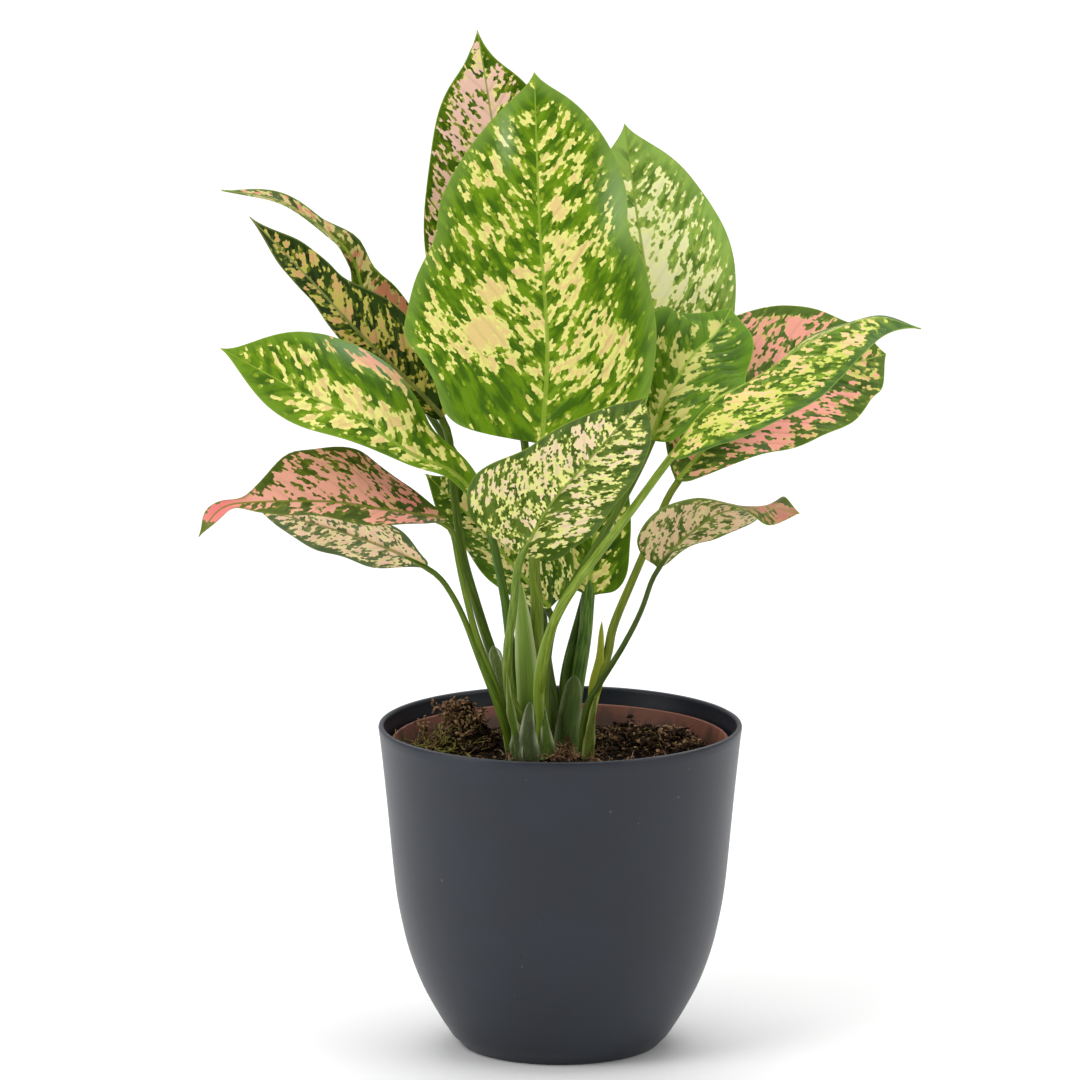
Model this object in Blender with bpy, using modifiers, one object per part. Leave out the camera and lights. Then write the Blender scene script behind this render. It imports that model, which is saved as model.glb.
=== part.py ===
"""A pink anyamanee aglaonema in its pots, modelled at real size.

A tapered cover pot holds a nursery pot full of peat. Four leafy shoots stand in
plain holes in the peat, and each leaf blade is a solid of its own at the end of
its petiole. +Z is up and the origin is the middle of the cover pot's underside.
The front of the plant faces -Y. Sizes below are in millimetres.
"""

import math

import bmesh
import bpy
import numpy as np
from mathutils import Vector

MM = 0.001
GAP = 0.3

# Cover pot: outer side as (height, radius) from the rim to the foot.
POT_HEIGHT = 126.0
POT_RIM_RADIUS = 70.0
POT_WALL = 2.2
POT_FLOOR = 3.0
POT_SIDE = (
    (119.0, 69.2), (96.0, 66.8), (64.0, 63.7), (48.0, 61.0), (36.0, 57.9),
    (24.0, 53.3), (12.4, 47.1), (4.5, 42.0), (1.0, 38.6), (0.0, 36.5),
)

# Nursery pot, wedged in the cover pot's taper.
NURSERY_RIM_HEIGHT = 120.0
NURSERY_RIM_RADIUS = 65.0
NURSERY_LIP_DEPTH = 8.0
NURSERY_NECK_RADIUS = 62.6
NURSERY_BASE_HEIGHT = 12.0
NURSERY_WALL = 1.0
NURSERY_FLOOR = 1.2
DRAIN_HOLES = 6
DRAIN_RADIUS = 4.0
DRAIN_CIRCLE = 28.0

# Peat, and the mounds that stand proud of it: x, y, height, spread.
SOIL_LEVEL = 112.0
SOIL_RINGS = 12
MOUNDS = (
    (-37.0, 16.0, 14.0, 7.0), (-46.0, 4.0, 5.0, 9.0), (-28.0, 20.0, 6.0, 7.0),
    (36.0, 14.0, 5.0, 16.0), (22.0, 30.0, 4.0, 9.0), (-4.0, -30.0, 3.0, 14.0),
)
HOLE_FLOOR = 82.0

POT_STEPS = 48
STEM_STEPS = 14

# Straight end of each petiole, in line with its blade's midrib, and the gap there.
JOINT_LENGTH = 3.0
JOINT_GAP = 0.6

# Blades: where the half widths are given, as parts of the length.
STATIONS = (0.03, 0.14, 0.32, 0.55, 0.77, 0.92)
VEIN_SWEEP = 1.5
RIB_THICKNESS = 2.2
MARGIN_SHARE = 0.4
NECK_HALF_WIDTH = 1.5
CURL_WIDTH = 30.0
SIDE_SWELL = 1.3
WAVE_OFFSET = 0.2
BLADE_ROWS = 14
HALF_COLUMNS = 3
SPINE_SAMPLES = 121
SPINE_PIECES = 24
MARGIN_PIECES = 12
PETIOLE_SAMPLES = 11


def catmull_rom(knots, pieces):
    """Points of the smooth curve through all knots but the first and the last."""
    line = []
    for i in range(1, len(knots) - 2):
        a, b, c, d = knots[i - 1:i + 3]
        for f in np.arange(pieces) / pieces:
            line.append(0.5 * (2 * b + (c - a) * f + (2 * a - 5 * b + 4 * c - d) * f ** 2
                               + (3 * b - a - 3 * c + d) * f ** 3))
    return np.array(line + [knots[-2]])


def smooth_curve(points, samples):
    """Points along a smooth curve through the given ones, at even spacing."""
    knots = np.array(points, dtype=float)
    knots = np.vstack([2 * knots[0] - knots[1], knots, 2 * knots[-1] - knots[-2]])
    fine = catmull_rom(knots, SPINE_PIECES)
    run = np.r_[0, np.cumsum(np.linalg.norm(np.diff(fine, axis=0), axis=1))]
    even = np.linspace(0, run[-1], samples)
    return np.array([np.interp(even, run, axis) for axis in fine.T]).T, run[-1]


class Blade:
    """A leaf blade bent along its midrib.

    spine: points of the midrib from base to tip; facing: directions that the
    upper face looks in, evenly spaced from base to tip; right and left: half
    widths at STATIONS; fold and curl: degrees that each half rises from the
    midrib and bends on towards its margin, from base to tip; wave: height and
    count of the margin's waves.
    """

    def __init__(self, spine, facing, right, left, fold=((8, 8), (8, 8)),
                 curl=((0, 0), (0, 0)), wave=(1.2, 2.5, 0.0)):
        self.points, self.length = smooth_curve(spine, SPINE_SAMPLES)
        step = np.gradient(self.points, axis=0)
        self.tangents = step / np.linalg.norm(step, axis=1)[:, None]
        self.facing = np.array(facing, dtype=float)
        self.fold = {1: fold[0], -1: fold[1]}
        self.curl = {1: curl[0], -1: curl[1]}
        self.wave = wave
        self.outline = {1: self.margin(right), -1: self.margin(left)}

    def margin(self, widths):
        """The margin of one half as points (part of the length, half width)."""
        knots = [(0, NECK_HALF_WIDTH)]
        knots += [(at * self.length, width) for at, width in zip(STATIONS, widths)]
        knots.append((self.length, 0))
        knots = np.array(knots, dtype=float)
        knots = np.vstack([knots[0], knots, 2 * knots[-1] - knots[-2]])
        line = catmull_rom(knots, MARGIN_PIECES)
        line[:, 0] = np.clip(line[:, 0] / self.length, 0, 1)
        line[:, 1] = np.maximum(line[:, 1], 0)
        return line

    def frame(self, along):
        """Point, tangent, upper face's direction and the direction to the right half."""
        at = np.clip(along, 0, 1) * (len(self.points) - 1)
        i = min(int(at), len(self.points) - 2)
        f = at - i
        point = self.points[i] * (1 - f) + self.points[i + 1] * f
        tangent = self.tangents[i] * (1 - f) + self.tangents[i + 1] * f
        tangent /= np.linalg.norm(tangent)
        if len(self.facing) == 1:
            face = self.facing[0]
        else:
            at = np.clip(along, 0, 1) * (len(self.facing) - 1)
            i = min(int(at), len(self.facing) - 2)
            face = self.facing[i] * (1 - at + i) + self.facing[i + 1] * (at - i)
        face = face - face.dot(tangent) * tangent
        face /= np.linalg.norm(face)
        return point, tangent, face, np.cross(tangent, face)

    def place(self, step, reach):
        """The point at step (0 base, 1 tip) and reach (-1 left margin, 1 right)."""
        side = 1 if reach >= 0 else -1
        line = self.outline[side]
        at = step * (len(line) - 1)
        i = min(int(at), len(line) - 2)
        edge_along, half_width = line[i] * (1 - at + i) + line[i + 1] * (at - i)
        r = abs(reach)
        root = edge_along ** VEIN_SWEEP
        along = root + (edge_along - root) * r ** SIDE_SWELL
        across = half_width * r
        point, _, face, sideways = self.frame(along)
        fold = np.interp(along, (0, 1), self.fold[side])
        curl = np.interp(along, (0, 1), self.curl[side])
        angle = math.radians(fold + curl * across / CURL_WIDTH / 2)
        height, count, phase = self.wave
        swell = math.sin(math.pi * along) * r ** 2
        turn = count * along + phase + side * WAVE_OFFSET
        ripple = height * swell * math.sin(2 * math.pi * turn)
        return (point + sideways * side * across * math.cos(angle)
                + face * (across * math.sin(angle) + ripple))


# Each blade by the place it has in the plant, seen from the front.
BLADES = {
    "front_large": Blade(
        spine=((-7, -8, 237), (-5, 6, 273), (-8, 18, 318), (-10, 34, 374)),
        facing=((0, -1, 0.15), (0, -1, 0.2)),
        right=(30, 39, 41, 38, 30, 15), left=(34, 44, 54, 46, 29, 11),
        fold=((6, 4), (12, 10)), curl=((-14, -26), (0, 0)), wave=(1.6, 2.0, 0.1)),
    "front_low": Blade(
        spine=((-15, -20, 197), (-4, -33, 219), (7, -43, 234), (19, -50, 249), (32, -54, 264)),
        facing=((-0.1, 1, 0.2), (-0.15, 1, 0.35)),
        right=(10, 26, 33, 23, 14, 7), left=(12, 17, 21, 20, 17, 11),
        fold=((-6, 0), (-8, -4)), curl=((-8, -8), (-6, -10)), wave=(1.4, 2.5, 0.3)),
    "back_top": Blade(
        spine=((-18, 58, 262), (-22, 64, 320), (-27, 67, 354), (-32, 69, 385)),
        facing=((0.25, -1, 0.2), (0.2, -1, 0.2)),
        right=(15, 30, 34, 28, 18, 5), left=(15, 29, 34, 31, 21, 8),
        fold=((10, 8), (10, 8))),
    "right_top": Blade(
        spine=((38, 62, 246), (34, 65, 284), (29, 68, 318), (25, 71, 348)),
        facing=((0.3, -1, 0.25),),
        right=(18, 30, 35, 34, 23, 10), left=(16, 27, 30, 26, 18, 8),
        fold=((8, 6), (8, 6)), curl=((-8, -6), (0, 0))),
    "right_bent": Blade(
        spine=((35, 10, 235), (41, 14, 251), (51, 22, 266), (60, 30, 273), (66, 40, 281)),
        facing=((-0.2, -0.9, 0.5), (-0.2, -0.85, 0.55)),
        right=(8, 14, 21, 25, 18, 9), left=(6, 12, 18, 23, 20, 10),
        fold=((12, 6), (12, 6)), curl=((-10, -10), (0, -10))),
    "right_broad": Blade(
        spine=((45, 8, 220), (59, 20, 233), (80, 32, 246), (104, 41, 256), (126, 46, 262)),
        facing=((-0.1, -0.85, 0.5), (-0.05, -0.8, 0.6)),
        right=(5, 11, 18, 24, 23, 14), left=(6, 17, 31, 38, 30, 15),
        fold=((10, 4), (6, 4)), curl=((-8, -10), (0, -6)), wave=(1.6, 3.0, 0.2)),
    "right_folded": Blade(
        spine=((41, -36, 238), (55, -40, 257), (75, -43, 270), (97, -46, 285),
               (118, -48, 293), (136, -48, 289)),
        facing=((-0.3, -0.35, 0.93), (-0.3, -0.4, 0.9)),
        right=(8, 18, 26, 28, 20, 6), left=(5, 14, 22, 24, 16, 5),
        fold=((-6, -6), (-28, -28)), curl=((-16, -16), (0, 0)), wave=(1.2, 2.5, 0.0)),
    "right_low": Blade(
        spine=((37, -10, 190), (43, -13, 198), (51, -17, 206), (62, -21, 214),
               (77, -25, 216), (91, -28, 214)),
        facing=((-0.4, 0.85, 0.45), (-0.35, 0.8, 0.5), (-0.2, 0.7, 0.7), (0, 0, 1),
                (0.2, -0.85, 0.5)),
        right=(9, 17, 20, 10, 10, 7), left=(3, 5, 9, 13, 11, 6),
        fold=((4, 4), (-4, -10)), curl=((-4, -10), (-10, -20))),
    "left_pink": Blade(
        spine=((-44, 2, 206), (-69, -10, 212), (-88, -16, 216), (-116, -22, 217),
               (-129, -24, 215), (-138, -24, 204)),
        facing=((0, -0.6, 0.8), (0, -0.7, 0.7), (0.1, -0.8, 0.5)),
        right=(6, 14, 24, 20, 4, 4), left=(5, 9, 12, 8, 4, 3),
        fold=((8, 4), (24, 10)), curl=((0, 0), (0, 0))),
    "left_pale": Blade(
        spine=((-51, 6, 187), (-66, 6, 194), (-84, 4, 201), (-102, 0, 207), (-116, -4, 211)),
        facing=((0.2, 0.9, 0.45), (0.2, 0.9, 0.5)),
        right=(5, 8, 12, 12, 9, 5), left=(5, 9, 13, 14, 11, 6),
        fold=((-4, -4), (-4, -4)), curl=((-12, -12), (-20, -20))),
    "left_broad": Blade(
        spine=((-32, -4, 216), (-42, -5, 226), (-57, -7, 233), (-78, -12, 248),
               (-99, -18, 259), (-129, -24, 277)),
        facing=((0.2, -0.8, 0.6), (0.1, -0.75, 0.65), (0.1, -0.7, 0.7)),
        right=(5, 9, 19, 29, 23, 9), left=(3, 4, 6, 13, 13, 6),
        fold=((10, 4), (10, 4)), curl=((0, -6), (-16, -20)), wave=(1.2, 2.5, 0.15)),
    "left_dark": Blade(
        spine=((-45, 21, 242), (-57, 20, 255), (-70, 18, 268), (-83, 16, 282),
               (-96, 14, 297), (-119, 10, 322)),
        facing=((0.1, -1, 0.1),),
        right=(9, 16, 18, 13, 8, 3), left=(4, 6, 7, 7, 5, 2),
        fold=((6, 6), (24, 24)), curl=((0, 0), (0, 0)), wave=(1.0, 3.0, 0.0)),
    "left_curl": Blade(
        spine=((-52, 42, 242), (-65, 40, 268), (-75, 38, 286), (-80, 37, 301),
               (-89, 36, 311), (-107, 33, 324), (-130, 30, 329)),
        facing=((0.2, -0.9, 0.3), (0.1, -0.9, 0.3), (-0.3, -0.2, 0.9), (-0.2, -0.1, 0.95)),
        right=(6, 12, 13, 8, 7, 4), left=(6, 8, 5, 4, 6, 4),
        fold=((8, 14), (20, 14))),
    "low_left": Blade(
        spine=((-4, 12, 169), (-19, 20, 185), (-35, 26, 202), (-52, 30, 218)),
        facing=((0.3, -0.9, 0.4),),
        right=(12, 20, 24, 20, 13, 6), left=(5, 9, 12, 11, 9, 5),
        fold=((8, 6), (8, 6))),
    "low_right": Blade(
        spine=((11, 24, 172), (13, 33, 190), (16, 42, 208), (19, 50, 232)),
        facing=((0.1, -0.95, 0.35),),
        right=(10, 14, 14, 12, 8, 4), left=(11, 18, 20, 16, 11, 5),
        fold=((8, 6), (8, 6)), curl=((-10, -10), (0, 0))),
}

# Shoots: the stem's place, radius and top, then each petiole as its points up to
# its blade, its radius at the blade and the radius of its sheath at the foot.
SHOOTS = {
    "shoot_left": dict(at=(-17, -2), radius=3.6, top=119, petioles={
        "left_pale": (((-18, -4, 116), (-23, -5, 131), (-32, -1, 154), (-39, 3, 173),
                       (-44, 5, 180)), 1.1, 1.5),
        "left_pink": (((-18, -2, 116), (-23, -2, 135), (-32, 0, 160), (-36, 2, 175),
                       (-40, 3, 191), (-41, 3, 199)), 1.2, 1.6),
        "left_dark": (((-16.5, 0, 116), (-21, 5, 137), (-28, 8, 157), (-33, 10, 173),
                       (-37, 13, 187), (-40, 17, 202), (-42, 20, 222)), 1.5, 2.2),
    }),
    "shoot_centre": dict(at=(-7, -2), radius=5.2, top=128, petioles={
        "left_broad": (((-9, -1, 122), (-17, 2, 140), (-20, 1, 165), (-22, 0, 180),
                        (-25, -2, 195), (-27, -3, 205)), 1.6, 2.2),
        "front_low": (((-9, -4, 122), (-19, -10, 138), (-20, -14, 160), (-17, -18, 180)),
                      1.6, 2.2),
        "front_large": (((-7, -1, 122), (-9, 0, 140), (-9, 0, 173), (-10, -2, 186),
                         (-9, -7, 212)), 1.8, 3.2),
        "right_folded": (((-6, -4, 122), (-8, -12, 142), (-3, -20, 169), (11, -28, 194),
                          (30, -35, 220)), 1.6, 2.3),
        "low_left": (((-5, 2, 122), (-5, 6, 140), (-5, 8, 155)), 1.4, 2.0),
        "right_bent": (((-5, 0, 122), (-6, 5, 142), (-2, 5, 166), (11, 5, 190),
                        (25, 6, 213)), 1.4, 1.9),
    }),
    "shoot_back": dict(at=(2, 13), radius=4.6, top=124, petioles={
        "low_right": (((3, 14, 120), (6, 17, 136), (10, 20, 158)), 2.6, 3.4),
        "right_top": (((1, 14, 120), (2, 19, 140), (8, 27, 163), (18, 44, 195),
                       (30, 56, 222)), 1.5, 2.0),
        "back_top": (((0, 14, 120), (-5, 20, 145), (-8, 26, 175), (-12, 38, 215),
                      (-16, 52, 243)), 1.5, 2.0),
        "left_curl": (((0, 12.5, 120), (-6, 16, 138), (-12, 28, 165), (-24, 42, 195),
                       (-40, 47, 222)), 1.4, 1.8),
    }),
    "shoot_right": dict(at=(7, -2), radius=4.0, top=120, petioles={
        "right_broad": (((8, -1, 116), (12, 1, 133), (18, 3, 152), (21, 4, 165),
                         (32, 6, 191)), 1.4, 2.0),
        "right_low": (((7, -3, 116), (10, -6, 133), (15, -7, 143), (21, -8, 153),
                       (28, -9, 165), (34, -10, 178)), 1.0, 1.4),
    }),
}


def clear_scene():
    for item in list(bpy.data.objects):
        bpy.data.objects.remove(item, do_unlink=True)


def new_collection(name):
    collection = bpy.data.collections.new(name)
    bpy.context.scene.collection.children.link(collection)
    return collection


def material(name, colour, roughness, metallic=0.0):
    made = bpy.data.materials.new(name)
    made.use_nodes = True
    shader = made.node_tree.nodes["Principled BSDF"]
    shader.inputs["Base Color"].default_value = (*colour, 1.0)
    shader.inputs["Roughness"].default_value = roughness
    shader.inputs["Metallic"].default_value = metallic
    return made


def add_object(name, mesh, collection, finish=None):
    item = bpy.data.objects.new(name, mesh)
    collection.objects.link(item)
    if finish:
        item.data.materials.append(finish)
    return item


def bake(item):
    """Replace an object's modifiers by the mesh that they give."""
    depsgraph = bpy.context.evaluated_depsgraph_get()
    mesh = bpy.data.meshes.new_from_object(item.evaluated_get(depsgraph), depsgraph=depsgraph)
    item.modifiers.clear()
    item.data = mesh
    return item


def turned(name, profile, steps, collection, finish=None):
    """A profile of (radius, height) points turned round +Z."""
    mesh = bpy.data.meshes.new(name)
    corners = [(radius * MM, 0, height * MM) for radius, height in profile]
    mesh.from_pydata(corners, [(i, i + 1) for i in range(len(corners) - 1)], [])
    item = add_object(name, mesh, collection, finish)
    screw = item.modifiers.new("turn", "SCREW")
    screw.axis = "Z"
    screw.steps = steps
    screw.render_steps = steps
    screw.use_merge_vertices = True
    screw.merge_threshold = 0.00001
    return item


def cylinder(name, x, y, radius, bottom, top, collection, sides=24):
    mesh = bpy.data.meshes.new(name)
    shape = bmesh.new()
    bmesh.ops.create_cone(shape, cap_ends=True, segments=sides, radius1=radius * MM,
                          radius2=radius * MM, depth=(top - bottom) * MM)
    shape.to_mesh(mesh)
    shape.free()
    item = add_object(name, mesh, collection)
    item.location = (x * MM, y * MM, (top + bottom) / 2 * MM)
    return item


def combine(item, collection, operation):
    """Cut or join an object with every object of a collection, then drop those."""
    boolean = item.modifiers.new("join", "BOOLEAN")
    boolean.operation = operation
    boolean.operand_type = "COLLECTION"
    boolean.collection = collection
    bake(item)
    for other in list(collection.objects):
        bpy.data.objects.remove(other, do_unlink=True)


def smooth(item, angle=40):
    item.data.shade_smooth()
    item.data.set_sharp_from_angle(angle=math.radians(angle))


def pot_inner_radius(height):
    """Radius of the cover pot's inner wall at a height."""
    heights = [h for h, _ in reversed(POT_SIDE)]
    radii = [r for _, r in reversed(POT_SIDE)]
    return float(np.interp(height, heights, radii)) - POT_WALL


def cover_pot(collection, finish):
    lip = POT_WALL / 2
    outer = [(POT_RIM_RADIUS - 0.5, POT_HEIGHT - 0.2), (POT_RIM_RADIUS, POT_HEIGHT - 0.9)]
    outer += [(radius, height) for height, radius in POT_SIDE]
    inner = [(radius - POT_WALL, height) for height, radius in reversed(POT_SIDE)
             if height > POT_FLOOR + 1]
    floor = [(0, POT_FLOOR), (pot_inner_radius(POT_FLOOR) - 2.0, POT_FLOOR)]
    rim = [(POT_RIM_RADIUS - POT_WALL, POT_HEIGHT - 0.5), (POT_RIM_RADIUS - lip, POT_HEIGHT)]
    pot = turned("cover_pot", floor + inner + rim + outer + [(0, 0)], POT_STEPS,
                 collection, finish)
    smooth(bake(pot))


def nursery_base_radius():
    """Radius that leaves the gap between the base's edge and the sloping wall."""
    rise = 4.0
    slope = (pot_inner_radius(NURSERY_BASE_HEIGHT + rise)
             - pot_inner_radius(NURSERY_BASE_HEIGHT)) / rise
    return pot_inner_radius(NURSERY_BASE_HEIGHT) - GAP * math.hypot(1, slope)


def nursery_inner_radius(height):
    bottom = NURSERY_BASE_HEIGHT + NURSERY_FLOOR
    neck = NURSERY_RIM_HEIGHT - NURSERY_LIP_DEPTH
    return float(np.interp(height, (bottom, neck),
                           (nursery_base_radius(), NURSERY_NECK_RADIUS))) - NURSERY_WALL


def nursery_pot(collection, cutters, finish):
    base, neck = nursery_base_radius(), NURSERY_NECK_RADIUS
    shoulder = NURSERY_RIM_HEIGHT - NURSERY_LIP_DEPTH
    floor = NURSERY_BASE_HEIGHT + NURSERY_FLOOR
    profile = [
        (0, floor), (nursery_inner_radius(floor) - 1, floor),
        (nursery_inner_radius(floor + 3), floor + 3),
        (neck - NURSERY_WALL, shoulder),
        (NURSERY_RIM_RADIUS - NURSERY_WALL, NURSERY_RIM_HEIGHT - 0.4),
        (NURSERY_RIM_RADIUS - NURSERY_WALL / 2, NURSERY_RIM_HEIGHT),
        (NURSERY_RIM_RADIUS, NURSERY_RIM_HEIGHT - 0.4),
        (NURSERY_RIM_RADIUS - 0.6, shoulder + 0.2), (neck, shoulder - 0.8),
        (base + 0.2, NURSERY_BASE_HEIGHT + 1.5), (base - 1, NURSERY_BASE_HEIGHT),
        (0, NURSERY_BASE_HEIGHT),
    ]
    pot = turned("nursery_pot", profile, POT_STEPS, collection, finish)
    for i in range(DRAIN_HOLES):
        turn = 2 * math.pi * (i + 0.5) / DRAIN_HOLES
        cylinder(f"drain_{i}", DRAIN_CIRCLE * math.cos(turn), DRAIN_CIRCLE * math.sin(turn),
                 DRAIN_RADIUS, NURSERY_BASE_HEIGHT - 2, floor + 2, cutters, 12)
    combine(pot, cutters, "DIFFERENCE")
    smooth(pot)


def peat_height(x, y):
    """Height of the peat over its level: small crumbs and a few mounds."""
    crumbs = 0.9 * math.sin(0.31 * x + 1.7 * math.sin(0.17 * y))
    crumbs += 0.8 * math.sin(0.43 * y + 1.3 * math.sin(0.23 * x + 2.0))
    crumbs += 0.6 * math.sin(0.83 * x - 0.71 * y)
    near = math.hypot(x + 3, y - 2)
    crumbs *= min(1.0, max(0.0, (near - 16) / 14))
    for at_x, at_y, height, spread in MOUNDS:
        crumbs += height * math.exp(-((x - at_x) ** 2 + (y - at_y) ** 2) / spread ** 2)
    return crumbs


def soil(collection, cutters, finish):
    edge = nursery_inner_radius(SOIL_LEVEL) - GAP
    bottom = NURSERY_BASE_HEIGHT + NURSERY_FLOOR + GAP
    profile = [(edge * i / SOIL_RINGS, SOIL_LEVEL) for i in range(SOIL_RINGS + 1)]
    for height in (SOIL_LEVEL - 12, bottom + 4):
        profile.append((nursery_inner_radius(height) - GAP, height))
    profile += [(nursery_inner_radius(bottom) - 2, bottom), (0, bottom)]
    body = bake(turned("soil", profile, 40, collection, finish))
    for corner in body.data.vertices:
        if corner.co.z > (SOIL_LEVEL - 1) * MM:
            x, y = corner.co.x / MM, corner.co.y / MM
            fade = min(1.0, max(0.0, (edge - math.hypot(x, y)) / 6))
            corner.co.z += peat_height(x, y) * fade * MM
    for name, shoot in SHOOTS.items():
        x, y = shoot["at"]
        cylinder(f"{name}_hole", x, y, shoot["radius"] + GAP, HOLE_FLOOR - GAP,
                 SOIL_LEVEL + 20, cutters)
    combine(body, cutters, "DIFFERENCE")
    smooth(body, 60)


def petiole(name, points, blade, tip_radius, foot_radius, collection):
    """A petiole up to its blade's base, thicker where it sheathes the stem."""
    base, tangent, face, _ = blade.frame(0)
    seat = base - face * RIB_THICKNESS / 2
    end = seat - tangent * JOINT_GAP
    route, _ = smooth_curve(list(points) + [end - tangent * JOINT_LENGTH], PETIOLE_SAMPLES)
    route = np.vstack([route, end])
    curve = bpy.data.curves.new(name, "CURVE")
    curve.dimensions = "3D"
    curve.bevel_depth = MM
    curve.bevel_resolution = 2
    curve.use_fill_caps = True
    spline = curve.splines.new("POLY")
    spline.points.add(len(route) - 1)
    for i, point in enumerate(route):
        up = i / (len(route) - 1)
        spline.points[i].co = (*(point * MM), 1)
        spline.points[i].radius = tip_radius + (foot_radius - tip_radius) * (1 - up) ** 1.5
    tube = bpy.data.objects.new(name, curve)
    collection.objects.link(tube)
    bpy.context.view_layer.update()
    depsgraph = bpy.context.evaluated_depsgraph_get()
    mesh = bpy.data.meshes.new_from_object(tube.evaluated_get(depsgraph), depsgraph=depsgraph)
    shape = bmesh.new()
    shape.from_mesh(mesh)
    bmesh.ops.remove_doubles(shape, verts=shape.verts, dist=0.000001)
    bmesh.ops.recalc_face_normals(shape, faces=shape.faces)
    shape.to_mesh(mesh)
    shape.free()
    add_object(f"{name}_tube", mesh, collection).matrix_world = tube.matrix_world
    bpy.data.objects.remove(tube, do_unlink=True)


def shoot(name, spec, collection, joined, finish):
    x, y = spec["at"]
    radius, top = spec["radius"], spec["top"]
    profile = [(0, top + 0.8), (radius * 0.6, top), (radius, top - 3), (radius, HOLE_FLOOR + 3),
               (radius * 0.6, HOLE_FLOOR), (0, HOLE_FLOOR)]
    stem = turned(name, profile, STEM_STEPS, collection, finish)
    bake(stem)
    for corner in stem.data.vertices:
        corner.co += Vector((x, y, 0)) * MM
    for blade, (points, tip_radius, foot_radius) in spec["petioles"].items():
        petiole(f"petiole_{blade}", points, BLADES[blade], tip_radius, foot_radius, joined)
    combine(stem, joined, "UNION")
    smooth(stem)


def leaf_blade(name, blade, collection, finish):
    mesh = bpy.data.meshes.new(name)
    shape = bmesh.new()
    bmesh.ops.create_grid(shape, x_segments=BLADE_ROWS, y_segments=2 * HALF_COLUMNS, size=1.0)
    weight = shape.verts.layers.deform.verify()
    for corner in shape.verts:
        step, reach = (corner.co.x + 1) / 2, corner.co.y
        corner[weight][0] = 1 - (1 - MARGIN_SHARE) * min(1.0, abs(reach) * 1.5)
        corner.co = Vector(blade.place(step, reach)) * MM
    bmesh.ops.remove_doubles(shape, verts=shape.verts, dist=0.00001)
    bmesh.ops.reverse_faces(shape, faces=shape.faces)
    bmesh.ops.triangulate(shape, faces=shape.faces)
    shape.to_mesh(mesh)
    shape.free()
    item = add_object(name, mesh, collection, finish)
    item.vertex_groups.new(name="rib")
    thicken = item.modifiers.new("thickness", "SOLIDIFY")
    thicken.thickness = RIB_THICKNESS * MM
    thicken.offset = -1
    thicken.vertex_group = "rib"
    smooth(item, 60)


def build():
    clear_scene()
    plant = new_collection("potted_aglaonema")
    cutters = new_collection("cutters")
    joined = new_collection("joined")

    cover_pot(plant, material("anthracite plastic", (0.045, 0.052, 0.062), 0.55))
    nursery_pot(plant, cutters, material("terracotta plastic", (0.25, 0.09, 0.045), 0.5))
    soil(plant, cutters, material("peat", (0.035, 0.022, 0.014), 0.95))
    for name, spec in SHOOTS.items():
        finish = material(f"{name} stalk", (0.20, 0.28, 0.06), 0.4)
        shoot(name, spec, plant, joined, finish)
    for name, blade in BLADES.items():
        leaf_blade(f"blade_{name}", blade, plant,
                   material(f"leaf {name}", (0.22, 0.36, 0.06), 0.35))
    for helper in (cutters, joined):
        bpy.data.collections.remove(helper)


build()
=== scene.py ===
"""Looks of a potted variegated aglaonema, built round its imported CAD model.

The blades, petioles, cover pot and peat repeat the CAD model's sizes and add what it
leaves out: thin margins, ribs, sheaths, fibres, crumbs and every surface finish. The
nursery pot keeps its CAD shape. Sizes are in millimetres until a piece is made. +Z is up
and the front of the plant faces -Y.
"""

import math
import random
from statistics import NormalDist

import bmesh
import bpy
import numpy as np
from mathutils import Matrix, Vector, noise


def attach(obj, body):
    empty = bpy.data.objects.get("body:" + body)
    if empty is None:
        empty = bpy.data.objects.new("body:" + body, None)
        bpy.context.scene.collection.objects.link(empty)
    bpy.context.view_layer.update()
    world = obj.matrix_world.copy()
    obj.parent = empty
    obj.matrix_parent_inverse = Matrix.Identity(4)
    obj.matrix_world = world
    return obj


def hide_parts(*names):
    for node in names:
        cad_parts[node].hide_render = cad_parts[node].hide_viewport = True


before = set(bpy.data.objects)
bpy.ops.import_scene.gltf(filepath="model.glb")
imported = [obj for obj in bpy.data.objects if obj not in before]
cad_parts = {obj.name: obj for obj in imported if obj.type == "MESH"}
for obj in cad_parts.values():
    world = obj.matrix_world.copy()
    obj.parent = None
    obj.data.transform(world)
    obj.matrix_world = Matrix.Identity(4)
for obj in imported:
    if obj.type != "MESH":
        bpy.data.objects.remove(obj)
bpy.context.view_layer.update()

MM = 0.001

# Cover pot, as in the CAD model. Its side and foot are (radius, height), from the rim
# down. Its lip is rounded by how far each point lies in from the wall and below the top.
POT_HEIGHT = 126.0
POT_RIM_RADIUS = 70.0
POT_WALL = 2.2
POT_FLOOR = 3.0
POT_SIDE = (
    (69.2, 119.0), (66.8, 96.0), (63.7, 64.0), (61.0, 48.0), (57.9, 36.0),
    (53.3, 24.0), (47.1, 12.4), (42.0, 4.5),
)
POT_FOOT = ((39.6, 2.2), (38.6, 1.0), (37.6, 0.3), (36.5, 0.0), (0, 0.0))
POT_LIP = ((0.0, 1.0), (0.3, 0.35), (0.9, 0.0))
POT_LIP_HEIGHT = 1.2
POT_CORNER = 2.0
POT_STEPS = 144
POT_SIDE_STEPS = 40

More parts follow.
